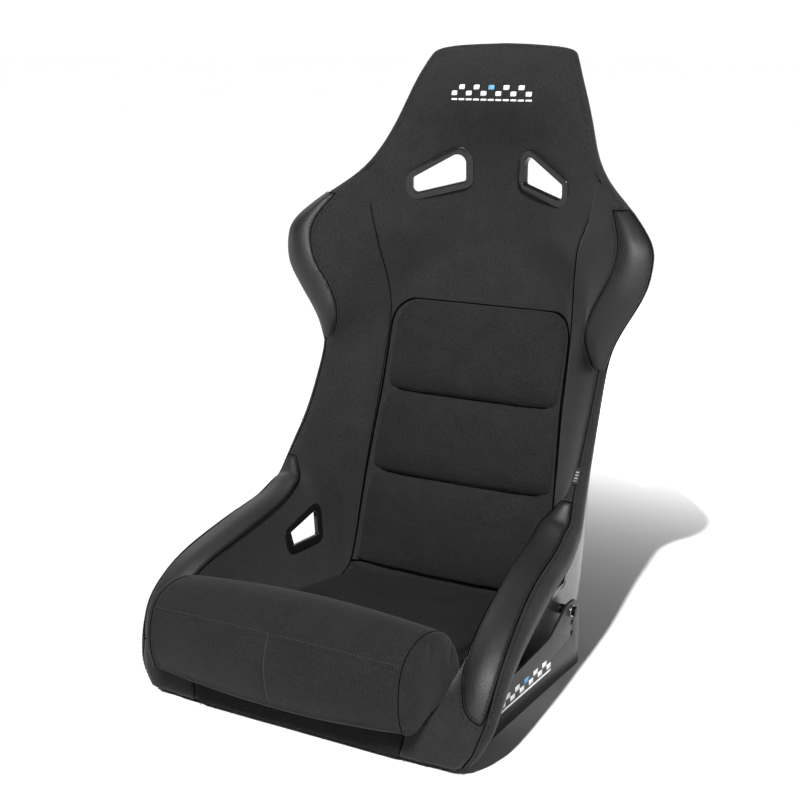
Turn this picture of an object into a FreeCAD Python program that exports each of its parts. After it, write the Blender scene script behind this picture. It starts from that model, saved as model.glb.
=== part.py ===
"""Fixed-back motorsport bucket seat, in millimetres.

Frame: +Z up, the occupant faces -Y and +X is the occupant's left. The origin is on the floor plane,
under the middle of the seat's box.

The seat is a fan of ribs. Each rib crosses the seat from its centre line to its edge, in a plane that
holds the X direction. "x" is the distance from the middle of the seat and "h" the height above the
centre of the rib, along a direction that leans from level (0 degrees) to straight up (90 degrees).
The ribs run from the top of the headrest, down the back, round the hip and out to the front lip.
"""
import FreeCAD
import Part
import math
import os
from collections import namedtuple

from FreeCAD import Placement, Rotation, Vector

doc = FreeCAD.newDocument("bucket_seat")

# ---------------------------------------------------------------- driving dimensions

DIMENSIONS = [
    ("cover_thick", 2.0), ("glue_gap", 0.3), ("patch_thick", 1.4), ("laminate", 4.5),
    ("cushion_edge", 6.0), ("cushion_crown", 20.0), ("cushion_channel", 0.3),
    ("cushion_top_z", 464.0), ("cushion_corner", 26.0),
    ("pad_half_width", 157.0), ("pad_rear_y", 86.0), ("pad_front_y", -206.0), ("pad_rear_z", 72.0),
    ("pad_front_z", 108.0),
    ("roll_half_width", 180.0),
    ("bezel_flange", 3.0), ("bezel_ring", 11.0), ("bezel_wall", 2.5), ("bezel_throat", 8.0),
    ("bezel_seat", 3.0), ("lap_throat", 5.0), ("lap_outer_throat", 3.0),
    ("plate_thick", 4.0), ("plate_inner_x", 213.0), ("plate_bottom_z", 0.0),
    ("flange_width", 30.0), ("slot_width", 9.0), ("slot_length", 24.0),
    ("bolt_shank", 8.0), ("bolt_clear", 8.6), ("bolt_head_flats", 13.0), ("bolt_head_height", 5.3),
    ("bolt_length", 24.0), ("washer_outer", 16.0), ("washer_thick", 1.6),
    ("spacer_flats", 13.0), ("spacer_length", 10.0),
    ("rear_bolt_y", 57.0), ("rear_bolt_z", 85.0), ("hole_pitch", 16.0),
    ("front_bolt_y", -233.0), ("front_bolt_z", 70.0),
    ("insert_outer", 14.0), ("insert_bore", 8.2), ("insert_length", 12.0),
    ("tag_width", 9.0), ("tag_height", 24.0), ("tag_thick", 1.0),
    ("emblem_thick", 0.8),
    ("decal_width", 150.0), ("decal_height", 22.0), ("decal_thick", 0.4),
]

sheet = doc.addObject("Spreadsheet::Sheet", "dimensions")
for row, (alias, number) in enumerate(DIMENSIONS, start=1):
    sheet.set("A%d" % row, alias)
    sheet.set("B%d" % row, str(number))
    sheet.setAlias("B%d" % row, alias)
doc.recompute()


def size(alias):
    """One driving dimension, as a number."""
    return float(sheet.get(alias))


# ---------------------------------------------------------------- ribs

Rib = namedtuple("Rib", "centre lean fold seam wall inner outer edge hem")

# The lining. centre: (y, z) in the middle; lean: direction of h; fold: half width of the flat;
# seam, inner, outer, edge, hem: (x, h) of the side seam, the bolster's two top seams, its widest
# line and the lower edge of the cover; wall: x half way up the side.
RIBS = [
    Rib((252, 824), 0, 60, (100, 0), 101, (102, 0), (103, 0), (111, -9), (107, -20)),
    Rib((233, 806), 0, 66, (111, -12), 112, (113, -13), (115, -12), (122, -16), (118, -26)),
    Rib((218, 750), 0, 66, (132, -12), 133, (135, -12), (139, -10), (146, -13), (142, -23)),
    Rib((241, 690), 0, 50, (154, 35), 156, (158, 37), (162, 41), (169, 36), (165, 22)),
    Rib((243, 648), 0, 42, (178, 57), 181, (186, 61), (191, 64), (200, 58), (195, 44)),
    Rib((241, 610), 0, 45, (176, 64), 200, (226, 99), (241, 97), (250, 85), (245, 70)),
    Rib((236, 570), 0, 60, (162, 66), 202, (242, 119), (276, 116), (286, 105), (281, 91)),
    Rib((228, 530), 0, 90, (155, 52), 194, (232, 120), (273, 116), (283, 106), (279, 91)),
    Rib((217, 490), 0, 120, (149, 30), 184, (208, 102), (254, 104), (264, 94), (260, 79)),
    Rib((204, 445), 0, 130, (146, 14), 182, (196, 85), (226, 87), (237, 77), (233, 62)),
    Rib((189, 400), 0, 134, (147, 10), 187, (213, 67), (217, 69), (225, 61), (221, 47)),
    Rib((164, 320), 0, 138, (149, 8), 190, (214, 83), (218, 85), (228, 75), (224, 60)),
    Rib((141, 235), 17, 145, (154, 8), 192, (218, 107), (223, 107), (235, 93), (226, 70)),
    Rib((118, 140), 38, 150, (158, 9), 193, (194, 139), (229, 135), (242, 120), (226, 82)),
    Rib((98, 66), 56, 152, (160, 10), 194, (191, 184), (230, 185), (246, 169), (225, 120)),
    Rib((40, 48), 56, 153, (161, 10), 194, (191, 178), (235, 182), (254, 164), (225, 116)),
    Rib((-50, 56), 56, 154, (163, 10), 195, (198, 144), (242, 152), (262, 134), (229, 82)),
    Rib((-150, 66), 56, 156, (166, 10), 195, (208, 104), (254, 106), (268, 89), (233, 30)),
    Rib((-235, 74), 56, 160, (172, 8), 196, (214, 45), (258, 44), (269, 27), (234, -30)),
    Rib((-288, 68), 40, 150, (164, -2), 196, (216, -8), (252, -12), (263, -22), (234, -60)),
    Rib((-300, 36), 10, 142, (156, -2), 194, (216, -6), (245, -12), (253, -23), (233, -58)),
    Rib((-302, 12), 0, 140, (152, -2), 190, (210, -5), (230, -11), (238, -21), (223, -56)),
]

Backing = namedtuple("Backing", "depth foot waist")

# The shell behind each rib. depth: how far it lies behind the middle of the lining; foot and waist:
# the (x, h) points where it turns up and where its side is widest.
BACKINGS = [
    Backing(24, (75, -24), (94, -22)),
    Backing(39, (80, -39), (106, -33)),
    Backing(52, (84, -50), (122, -32)),
    Backing(22, (90, -9), (138, 15)),
    Backing(15, (95, 4), (160, 31)),
    Backing(20, (110, 4), (200, 52)),
    Backing(28, (120, -2), (225, 58)),
    Backing(29, (130, -10), (225, 50)),
    Backing(30, (140, -18), (215, 34)),
    Backing(31, (150, -24), (206, 16)),
    Backing(32, (162, -26), (205, 6)),
    Backing(33, (178, -27), (205, 6)),
    Backing(38, (191, -32), (204, 28)),
    Backing(44, (196, -38), (203, 72)),
    Backing(38, (199, -33), (203, 116)),
    Backing(28, (199, -18), (203, 116)),
    Backing(28, (198, -18), (203, 88)),
    Backing(28, (198, -20), (204, 48)),
    Backing(24, (199, -18), (205, 14)),
    Backing(12, (188, -13), (214, -19)),
    Backing(9, (188, -11), (215, -16)),
    Backing(8, (188, -10), (210, -14)),
]

FOLD, SEAM, WALL, INNER, CREST, OUTER, EDGE, HEM = range(1, 9)
NECK = 4
WING_TOP, WING_END = 4.75, 9.9
HIP = 14
THIGH_TOP, THIGH_END = 12.35, 18.75
LIP = len(RIBS) - 1
SHELL_END = 4
SEAM_ON_SHELL = 1.5
CROWN = 7.0
CROWN_FULL_WIDTH = 35.0
HEAD_DOME = 3.0
SHELL_SETBACK = (5, 3)


def slopes(values):
    """Slopes at the knots of a curve that never overshoots its values."""
    steps = [b - a for a, b in zip(values, values[1:])]
    inside = [0 if a * b <= 0 else 2 * a * b / (a + b) for a, b in zip(steps, steps[1:])]
    return [steps[0]] + inside + [steps[-1]]


def curve_at(values, place):
    """Value at a place between the knots 0, 1, 2, ... of a smooth curve."""
    knot = min(int(place), len(values) - 2)
    part = place - knot
    tangents = slopes(values)
    rise = part * part * (3 - 2 * part)
    start = part * (1 - part) ** 2
    end = part * part * (part - 1)
    low, high = values[knot], values[knot + 1]
    return low + (high - low) * rise + tangents[knot] * start + tangents[knot + 1] * end


def lining_row(rib):
    """The (x, h) points across one rib, from the middle to the hem."""
    wall_h = (rib.seam[1] + rib.inner[1]) / 2
    swell = CROWN * min(1, (rib.outer[0] - rib.inner[0]) / CROWN_FULL_WIDTH)
    crest = ((rib.inner[0] + rib.outer[0]) / 2, (rib.inner[1] + rib.outer[1]) / 2 + swell)
    return [(0, 0), (rib.fold, 0), rib.seam, (rib.wall, wall_h), rib.inner, crest, rib.outer,
            rib.edge, rib.hem]


def shell_row(rib, backing):
    """The (x, h) points across the back of the shell at one rib."""
    end = (rib.edge[0] - SHELL_SETBACK[0], rib.edge[1] - SHELL_SETBACK[1])
    return [(0, -backing.depth), (rib.fold, -backing.depth), backing.foot, backing.waist, end]


LINING = [lining_row(rib) for rib in RIBS]
SHELL = [shell_row(rib, backing) for rib, backing in zip(RIBS, BACKINGS)]


def rib_frame(along):
    """Centre point and the direction of h, at any place along the fan."""
    y = curve_at([rib.centre[0] for rib in RIBS], along)
    z = curve_at([rib.centre[1] for rib in RIBS], along)
    lean = math.radians(curve_at([rib.lean for rib in RIBS], along))
    return Vector(0, y, z), Vector(0, -math.cos(lean), math.sin(lean))


def row_at(rows, along):
    """The (x, h) points of a row between two ribs."""
    columns = range(len(rows[0]))
    return [(curve_at([row[c][0] for row in rows], along), curve_at([row[c][1] for row in rows], along))
            for c in columns]


def place_on(rows, along, across):
    """Point in space on a fan of rows; across is negative on the -X side."""
    centre, up = rib_frame(along)
    row = row_at(rows, along)
    x = curve_at([p[0] for p in row], abs(across))
    height = curve_at([p[1] for p in row], abs(across))
    return centre + up * height + Vector(math.copysign(x, across), 0, 0)


def lining(along, across):
    """Point on the lining; the headrest's top edge is slightly domed."""
    point = place_on(LINING, along, across)
    share = min(1, abs(point.x) / RIBS[0].outer[0])
    point.z += HEAD_DOME * max(0, 1 - along) * math.cos(math.pi / 2 * share)
    return point


def shell_back(along, across):
    return place_on(SHELL, along, across)


def edge_wrap(along, across):
    """The cover's edge band. Before the first rib it runs over the top of the headrest, to along = -1."""
    if along >= 1:
        return lining(along, across)
    rib = max(along, 0)
    seam, point = lining(rib, math.copysign(OUTER, across)), lining(rib, across)
    over = max(0, -along)
    turn = math.radians(45 * (1 - rib) + 45 * min(1, 3 * over))
    outward = Vector(math.copysign(math.cos(turn), across), 0, math.sin(turn))
    reach = abs(point.x) - abs(seam.x)
    start = Vector(seam.x * (1 - over), seam.y, seam.z + HEAD_DOME * math.sin(math.pi / 2 * over))
    return start + outward * reach + Vector(0, point.y - seam.y, 0)


def normal(surface, along, across, first, last):
    """Unit normal towards the occupant, from small steps on the surface."""
    step = 0.02
    u0, u1 = max(first, along - step), min(last, along + step)
    ahead = surface(u1, across) - surface(u0, across)
    v0, v1 = across - step, across + step
    sideways = surface(along, v1) - surface(along, v0)
    result = ahead.cross(sideways)
    result.normalize()
    return result


def spread(first, last, step):
    """Evenly spaced values from first to last, about a step apart."""
    count = max(2, int(round(abs(last - first) / step)))
    return [first + (last - first) * i / count for i in range(count + 1)]


def sheet_grid(surface, alongs, acrosses, lift, ends=(0, LIP)):
    """Rows of points on a surface, lifted along its normal towards the occupant."""
    rows = []
    for along in alongs:
        rows.append([surface(along, across) + normal(surface, along, across, *ends) * lift
                     for across in acrosses])
    return rows


def clamped_knots(count, degree):
    """Knots and multiplicities of an open spline with a number of poles."""
    spans = count - degree
    knots = [float(i) for i in range(spans + 1)]
    return knots, [degree + 1] + [1] * (spans - 1) + [degree + 1]


def skin(points):
    """One smooth face whose poles are rows of points, so it never overshoots them."""
    degree_u, degree_v = min(3, len(points) - 1), min(3, len(points[0]) - 1)
    knots_u, mults_u = clamped_knots(len(points), degree_u)
    knots_v, mults_v = clamped_knots(len(points[0]), degree_v)
    surface = Part.BSplineSurface()
    surface.buildFromPolesMultsKnots(points, mults_u, mults_v, knots_u, knots_v, False, False,
                                     degree_u, degree_v)
    return surface.toShape()


def slab(top_points, bottom_points):
    """A closed solid between two grids of points of the same size."""
    top, bottom = skin(top_points), skin(bottom_points)
    faces = [top, bottom]
    for grid_a, grid_b in zip(borders(top_points), borders(bottom_points)):
        faces.append(Part.makeRuledSurface(edge_through(grid_a, top), edge_through(grid_b, bottom)))
    shell = Part.Shell(Part.makeShell(faces).Faces)
    shell.sewShape()
    solid = Part.Solid(shell)
    if solid.Volume < 0:
        solid.reverse()
    return solid


def borders(points):
    """The first and last points of the four sides of a grid."""
    return [(points[0][0], points[0][-1]), (points[-1][0], points[-1][-1]),
            (points[0][0], points[-1][0]), (points[0][-1], points[-1][-1])]


def edge_through(ends, face):
    """The edge of a face that joins two corners."""
    def misfit(edge):
        a, b = edge.Vertexes[0].Point, edge.Vertexes[-1].Point
        straight = a.distanceToPoint(ends[0]) + b.distanceToPoint(ends[1])
        crossed = a.distanceToPoint(ends[1]) + b.distanceToPoint(ends[0])
        return min(straight, crossed)
    return min(face.Edges, key=misfit)


def solid_node(label, shape):
    """A sub-part whose shape comes from the ribs."""
    node = doc.addObject("Part::Feature", label)
    node.Label = label
    node.Shape = shape
    node.Placement = Placement()
    return node


SIDES = {"left": 1, "right": -1}


def on_side(shape, side):
    """The shape itself on the left, or its mirror image on the right."""
    return shape if side == "left" else shape.mirror(Vector(0, 0, 0), Vector(1, 0, 0))


# ---------------------------------------------------------------- openings

# Outlines are convex, corner by corner, with the radius of each corner.
HARNESS_CENTRE = Vector(83.5, 226, 652)
HARNESS_TURN = 20.6
HARNESS_OUTLINE = [((-48.5, 53), 24), ((-49.5, -21), 15), ((51, -45.5), 18), ((51, -2), 16)]
HARNESS_REAR_GROWTH, HARNESS_REAR_SHIFT = 11.0, 6.5
HARNESS_REACH = 70.0
LAP_CENTRE = Vector(191.5, 11, 147.7)
LAP_TILT, LAP_YAW = 8.0, 3.5
LAP_DEPTH = 14.0
LAP_REAR_SHIFT, LAP_REAR_DROP = 20.0, 4.0
LAP_REAR_GROWTH = 4.0
LAP_REACH = 32.0
LAP_OUTLINE = [((-47, 8), 12), ((46, 33), 15), ((41, -31), 15), ((-40, -31), 13)]


def inset(outline, distance):
    """A convex outline moved inwards by a distance."""
    corners = [Vector(p[0], p[1], 0) for p, radius in outline]
    middle = sum(corners, Vector()) * (1 / len(corners))
    moved = []
    for i, corner in enumerate(corners):
        before = (corner - corners[i - 1]).normalize()
        after = (corners[(i + 1) % len(corners)] - corner).normalize()
        inward_a, inward_b = inward(before, corner, middle), inward(after, corner, middle)
        shift = (inward_a + inward_b) * (distance / (1 + inward_a.dot(inward_b)))
        point = corner + shift
        moved.append(((point.x, point.y), max(2, outline[i][1] - distance)))
    return moved


def inward(direction, corner, middle):
    """Unit vector square to a side, towards the middle of the outline."""
    square = Vector(-direction.y, direction.x, 0)
    return square if square.dot(middle - corner) > 0 else square * -1


def outline_edges(outline, sign=1):
    """Lines and arcs of a rounded outline; a sign of -1 mirrors it."""
    corners = [Vector(sign * p[0], p[1], 0) for p, radius in outline]
    arcs = []
    for i, corner in enumerate(corners):
        back = (corners[i - 1] - corner).normalize()
        ahead = (corners[(i + 1) % len(corners)] - corner).normalize()
        half = back.getAngle(ahead) / 2
        radius = outline[i][1]
        bisector = (back + ahead).normalize()
        start = corner + back * (radius / math.tan(half))
        end = corner + ahead * (radius / math.tan(half))
        middle = corner + bisector * (radius / math.sin(half) - radius)
        arcs.append((start, middle, end))
    edges = []
    for i, (start, middle, end) in enumerate(arcs):
        edges.append(Part.Arc(start, middle, end))
        edges.append(Part.LineSegment(end, arcs[(i + 1) % len(arcs)][0]))
    return edges


def prism(outline, sign, placement, low, high):
    """A solid through an opening, from low to high along the normal of its plane."""
    wire = Part.Wire([edge.toShape() for edge in outline_edges(outline, sign)])
    wire.translate(Vector(0, 0, low))
    solid = Part.Face(wire).extrude(Vector(0, 0, high - low))
    solid.Placement = placement
    return solid


def harness_placement(side):
    """Outline plane of a harness opening: its X runs outwards, its Y up."""
    sign = SIDES[side]
    upright = Rotation(Vector(1, 0, 0), 90)
    turn = Rotation(Vector(0, 0, 1), -HARNESS_TURN * sign)
    centre = Vector(sign * HARNESS_CENTRE.x, HARNESS_CENTRE.y, HARNESS_CENTRE.z)
    return Placement(centre, turn.multiply(upright))


def lap_placement(side):
    """Outline plane of a lap-belt opening: its X runs to the rear, its Y up."""
    sign = SIDES[side]
    sideways = Rotation(Vector(0, 1, 0), Vector(0, 0, 1), Vector(1, 0, 0), "ZXY")
    tilt = Rotation(Vector(0, 0, 1), LAP_YAW * sign).multiply(Rotation(Vector(0, 1, 0), LAP_TILT * sign))
    centre = Vector(sign * LAP_CENTRE.x, LAP_CENTRE.y, LAP_CENTRE.z)
    return Placement(centre, tilt.multiply(sideways))


def moved_inside(placement, shift):
    """The placement moved by a vector given in its own axes."""
    return Placement(placement.Base + placement.Rotation.multVec(shift), placement.Rotation)


def outer_lap_placement(side):
    """Outline plane of a lap opening at the outside of the shell."""
    outward = Vector(LAP_REAR_SHIFT, -LAP_REAR_DROP, SIDES[side] * LAP_DEPTH)
    return moved_inside(lap_placement(side), outward)


def opening_cutters():
    """Solids that clear both kinds of belt opening. Each is wider or further back behind its bezel."""
    clearance = size("bezel_ring") - size("bezel_wall") - size("glue_gap")
    throat_end = size("bezel_seat") - size("bezel_throat") - size("glue_gap")
    lap_split = size("lap_throat") + size("glue_gap")
    cutters = []
    for side, sign in SIDES.items():
        front = harness_placement(side)
        rear = moved_inside(front, Vector(-sign * HARNESS_REAR_SHIFT, 0, 0))
        narrow = inset(HARNESS_OUTLINE, clearance)
        wide = inset(HARNESS_OUTLINE, clearance - HARNESS_REAR_GROWTH)
        cutters.append(prism(narrow, sign, front, throat_end, HARNESS_REACH))
        cutters.append(prism(wide, sign, rear, -HARNESS_REACH, throat_end))
        opening = inset(LAP_OUTLINE, clearance)
        wide_opening = inset(LAP_OUTLINE, clearance - LAP_REAR_GROWTH)
        inner_span = sorted((-sign * LAP_REACH, sign * lap_split))
        outer_span = sorted((sign * LAP_REACH, sign * (lap_split - LAP_DEPTH)))
        cutters.append(prism(opening, 1, lap_placement(side), *inner_span))
        cutters.append(prism(wide_opening, 1, outer_lap_placement(side), *outer_span))
    return cutters


# ---------------------------------------------------------------- shell, foam and covers

STEP = 0.5
HEAD_FOAM_TOP, BASE_FOAM_END = 0.2, LIP - 0.3
THIGH_TIP = 1.2
TIP_TURNS = [15, 30, 45, 60, 75, 90]
TIP_SHARE = (1.5, 0.3)
PATCH_COLUMNS = 6
WING_WRAP = 0.8


def shell_solid():
    """The laminate: a thin shell behind everything, open towards the occupant."""
    alongs, acrosses = spread(0, LIP, STEP), spread(-SHELL_END, SHELL_END, STEP)
    outside = sheet_grid(shell_back, alongs, acrosses, 0)
    inside = sheet_grid(shell_back, alongs, acrosses, size("laminate"))
    return slab(inside, outside)


def foam_solid(first, last, seam_from, seam_to):
    """Foam between the shell and the covers."""
    alongs = spread(first, last, STEP)
    acrosses = spread(seam_from, seam_to, STEP)
    shell_places = [on_shell(across) for across in acrosses]
    under_cover = size("cover_thick") + size("glue_gap")
    top = sheet_grid(lining, alongs, acrosses, -under_cover)
    bottom = sheet_grid(shell_back, alongs, shell_places, size("laminate") + size("glue_gap"))
    return slab(top, bottom)


def on_shell(across):
    """Where on the shell a place on the lining is backed."""
    far = abs(across)
    if far <= SEAM:
        place = far * SEAM_ON_SHELL / SEAM
    else:
        place = SEAM_ON_SHELL + (far - SEAM) * (SHELL_END - SEAM_ON_SHELL) / (EDGE - SEAM)
    return math.copysign(place, across)


def cover_solid(surface, first, last, seam_from, seam_to, lift=0.0, thick=None):
    """A panel of cover material between two ribs and two lines across."""
    alongs, acrosses = spread(first, last, STEP), spread(seam_from, seam_to, STEP)
    thick = size("cover_thick") if thick is None else thick
    ends = (min(first, 0), LIP)
    top = sheet_grid(surface, alongs, acrosses, lift, ends)
    bottom = sheet_grid(surface, alongs, acrosses, lift - thick, ends)
    return slab(top, bottom)


def patch_limits(along, last, tip, wrap):
    """Lines across at which a patch starts and ends. It wraps round the edge past the outer seam
    by a share of a row, and its lower end is a rounded tip."""
    part = max(0, 1 - (last - along) / tip) if tip else 0
    narrowing = 1 - math.sqrt(max(0, 1 - part * part))
    return INNER + TIP_SHARE[0] * narrowing, OUTER + wrap - TIP_SHARE[1] * narrowing


def patch_solid(first, last, lift, tip=0, wrap=0):
    """A vinyl patch over the top of a bolster."""
    alongs = spread(first, last - tip, STEP)
    alongs += [last - tip + tip * math.sin(math.radians(turn)) for turn in TIP_TURNS] if tip else []
    sheets = []
    for height in (lift, lift - size("patch_thick")):
        rows = []
        for along in alongs:
            low, high = patch_limits(along, last, tip, wrap)
            acrosses = [low + (high - low) * i / PATCH_COLUMNS for i in range(PATCH_COLUMNS + 1)]
            rows += sheet_grid(lining, [along], acrosses, height)
        sheets.append(rows)
    return slab(*sheets)


def cut_openings(shape, cutters):
    for cutter in cutters:
        if shape.BoundBox.intersect(cutter.BoundBox):
            shape = shape.cut(cutter)
    return shape


def build_seat():
    """Shell, foam and covers."""
    cutters = opening_cutters()
    solid_node("shell", cut_openings(shell_solid(), cutters))
    solid_node("head_foam", cut_openings(foam_solid(HEAD_FOAM_TOP, NECK, -SEAM, SEAM), cutters))
    solid_node("back_foam", cut_openings(foam_solid(NECK, HIP, -SEAM, SEAM), cutters))
    solid_node("base_foam", foam_solid(HIP, BASE_FOAM_END, -SEAM, SEAM))
    solid_node("back_cover", cut_openings(cover_solid(lining, 0, HIP, -SEAM, SEAM), cutters))
    solid_node("base_cover", cover_solid(lining, HIP, LIP, -SEAM, SEAM))
    side_foam = foam_solid(NECK - 0.5, LIP - 1, SEAM, (OUTER + EDGE) / 2)
    side_cover = cover_solid(lining, NECK, LIP, SEAM, OUTER)
    band = cover_solid(edge_wrap, -1, LIP, OUTER, HEM)
    lift = size("patch_thick") + 0.05
    wing = patch_solid(WING_TOP, WING_END, lift, wrap=WING_WRAP)
    thigh = patch_solid(THIGH_TOP, THIGH_END, lift, tip=THIGH_TIP)
    for side in SIDES:
        pieces = {"side_foam": side_foam, "side_cover": side_cover, "edge_band": band,
                  "wing_patch": wing, "thigh_patch": thigh}
        for name, shape in pieces.items():
            solid_node("%s_%s" % (name, side), cut_openings(on_side(shape, side), cutters))


# ---------------------------------------------------------------- cushions

def back_at_height(z):
    """Lining depth (y) in the middle of the seat at a height."""
    low, high = 1.0, float(HIP)
    for halving in range(40):
        middle = (low + high) / 2
        if rib_frame(middle)[0].z > z:
            low = middle
        else:
            high = middle
    return rib_frame(low)[0].y


CUSHION_SEAMS = [size("cushion_top_z"), 333.0, 213.0, 76.0]
CUSHION_WIDTHS = [139.0, 141.0, 149.0, 156.0]
CUSHION_ROWS = 6
TOP_EDGE_ROW = 5.0


def cushion_width(z):
    """Half width of the back cushion at a height, rounded at its upper corners."""
    spans = zip(CUSHION_SEAMS, CUSHION_SEAMS[1:], CUSHION_WIDTHS, CUSHION_WIDTHS[1:])
    for upper, lower, wide, wider in spans:
        if lower <= z <= upper:
            width = wide + (wider - wide) * (upper - z) / (upper - lower)
    corner = size("cushion_corner")
    above = max(0, z - (size("cushion_top_z") - corner))
    return width - corner + math.sqrt(max(0, corner ** 2 - above ** 2))


def cushion_puff(z, side):
    """Thickness of the back cushion: three crowned sections with sewn channels between."""
    for upper, lower in zip(CUSHION_SEAMS, CUSHION_SEAMS[1:]):
        if lower <= z <= upper:
            part = (upper - z) / (upper - lower)
    crown = 1 - (2 * part - 1) ** 4
    share = size("cushion_channel") + (1 - size("cushion_channel")) * crown
    thin = size("cushion_edge")
    return thin + (size("cushion_crown") - thin) * share * (1 - side ** 4)


def build_back_cushion():
    """Back cushion, lying on the lining."""
    heights = []
    for upper, lower in zip(CUSHION_SEAMS, CUSHION_SEAMS[1:]):
        heights += [upper + (lower - upper) * i / CUSHION_ROWS for i in range(CUSHION_ROWS)]
    heights.append(CUSHION_SEAMS[-1])
    heights.insert(1, CUSHION_SEAMS[0] - TOP_EDGE_ROW)
    sides = [i / CUSHION_ROWS for i in range(-CUSHION_ROWS, CUSHION_ROWS + 1)]
    front, back = [], []
    for z in heights:
        rear_y = back_at_height(z) - size("glue_gap")
        width = cushion_width(z)
        front.append([Vector(width * s, rear_y - cushion_puff(z, s), z) for s in sides])
        back.append([Vector(width * s, rear_y, z) for s in sides])
    solid_node("back_cushion", slab(front, back))


PAD_ROWS = 8
PAD_EDGE_DROP = 4.0


def build_seat_pad():
    """Flat pad on the base, between the back cushion and the thigh roll."""
    front_y, rear_y = size("pad_front_y"), size("pad_rear_y")
    half, gap = size("pad_half_width"), size("glue_gap")
    sides = [i / 4 for i in range(-4, 5)]
    top, bottom = [], []
    for i in range(PAD_ROWS + 1):
        y = rear_y + (front_y - rear_y) * i / PAD_ROWS
        z = size("pad_rear_z") + (size("pad_front_z") - size("pad_rear_z")) * i / PAD_ROWS
        top.append([Vector(half * s, y, z - PAD_EDGE_DROP * s ** 4) for s in sides])
        bottom.append([Vector(half * s, y, floor_at(y) + gap) for s in sides])
    solid_node("seat_pad", slab(top, bottom))


def floor_at(y):
    """Lining height (z) in the middle of the seat at a depth."""
    low, high = float(HIP), 19.0
    for halving in range(40):
        middle = (low + high) / 2
        if rib_frame(middle)[0].y > y:
            low = middle
        else:
            high = middle
    return rib_frame(low)[0].z


# Cross-section of the thigh roll (y, z), from the rear junction over the top to the underside.
ROLL_SECTION = [(-207, 106), (-222, 140), (-250, 167), (-290, 175), (-328, 169), (-350, 146),
                (-354, 110), (-350, 74), (-334, 58), (-306, 72), (-280, 77), (-240, 77),
                (-206, 77)]
ROLL_ENDS = [(0, 1.0), (5, 0.985), (10, 0.93), (13, 0.86), (15, 0.74)]


def roll_section(x, scale):
    """Closed outline of the roll at a distance from the middle."""
    mid_y = sum(p[0] for p in ROLL_SECTION) / len(ROLL_SECTION)
    mid_z = sum(p[1] for p in ROLL_SECTION) / len(ROLL_SECTION)
    points = [Vector(x, mid_y + (y - mid_y) * scale, mid_z + (z - mid_z) * scale)
              for y, z in ROLL_SECTION]
    outline = Part.BSplineCurve()
    outline.buildFromPoles(points, True, 3)
    return Part.Wire(outline.toShape())


def build_thigh_roll():
    """Thigh roll at the front of the base, with bulged ends."""
    half = size("roll_half_width")
    right = [(-half - out, scale) for out, scale in reversed(ROLL_ENDS)]
    left = [(half + out, scale) for out, scale in ROLL_ENDS]
    sections = [roll_section(x, scale) for x, scale in right + left]
    ends = Part.makeLoft(sections, True, False)
    solid_node("thigh_roll", ends)


# ---------------------------------------------------------------- moulded bezels

def sketch_on(body, plane, name, edges):
    """A sketch of given edges on one of the body's own origin planes."""
    sketch = body.newObject("Sketcher::SketchObject", name)
    base = [feature for feature in body.Origin.OriginFeatures if feature.Role == plane][0]
    sketch.AttachmentSupport = [(base, "")]
    sketch.MapMode = "FlatFace"
    sketch.addGeometry(edges, False)
    return sketch


def pad(body, sketch, name, length, backwards=False):
    feature = body.newObject("PartDesign::Pad", name)
    feature.Profile = sketch
    feature.setExpression("Length", length)
    feature.Reversed = backwards
    return feature


def new_body(label):
    body = doc.addObject("PartDesign::Body", label)
    body.Label = label
    return body


def build_bezel(label, outline, sign, placement, throat, outside=False):
    """A moulded frame round an opening: a flat ring with a short tube behind it."""
    body = new_body(label)
    hole = inset(outline, size("bezel_ring"))
    tube = inset(outline, size("bezel_ring") - size("bezel_wall"))
    ring_edges = outline_edges(outline, sign) + outline_edges(hole, sign)
    tube_edges = outline_edges(tube, sign) + outline_edges(hole, sign)
    ring = sketch_on(body, "XY_Plane", label + "_ring_sketch", ring_edges)
    wall = sketch_on(body, "XY_Plane", label + "_tube_sketch", tube_edges)
    pad(body, ring, label + "_ring", "dimensions.bezel_flange", outside)
    pad(body, wall, label + "_tube", throat, not outside)
    body.Placement = placement


def build_bezels():
    """Front frames of the harness openings, inner and outer frames of the lap openings."""
    for side, sign in SIDES.items():
        front = moved_inside(harness_placement(side), Vector(0, 0, size("bezel_seat")))
        build_bezel("shoulder_bezel_" + side, HARNESS_OUTLINE, sign, front,
                    "dimensions.bezel_throat")
        build_bezel("lap_bezel_" + side, LAP_OUTLINE, 1, lap_placement(side),
                    "dimensions.lap_throat", sign > 0)
        build_bezel("lap_bezel_outer_" + side, LAP_OUTLINE, 1, outer_lap_placement(side),
                    "dimensions.lap_outer_throat", sign < 0)


# ---------------------------------------------------------------- brackets and fasteners

PLATE_OUTLINE = [((82, 0), 2), ((82, 60), 6), ((72, 99), 13), ((42, 99), 12), ((-12, 71), 30),
                 ((-50, 67), 20), ((-149, 60), 20), ((-205, 58), 8), ((-217, 85), 10),
                 ((-250, 85), 10), ((-250, 0), 2)]
PLATE_FRONT, PLATE_REAR = PLATE_OUTLINE[-1][0][0], PLATE_OUTLINE[0][0][0]
HOLES_PER_BOLT = 3
SLOT_PLACES = [-205, 35]


def bolt_places():
    """Where the bolts go on each bracket, as (y, z)."""
    return [(size("rear_bolt_y"), size("rear_bolt_z")), (size("front_bolt_y"), size("front_bolt_z"))]


def circle(y, z, diameter):
    return Part.Circle(Vector(y, z, 0), Vector(0, 0, 1), diameter / 2)


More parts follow.
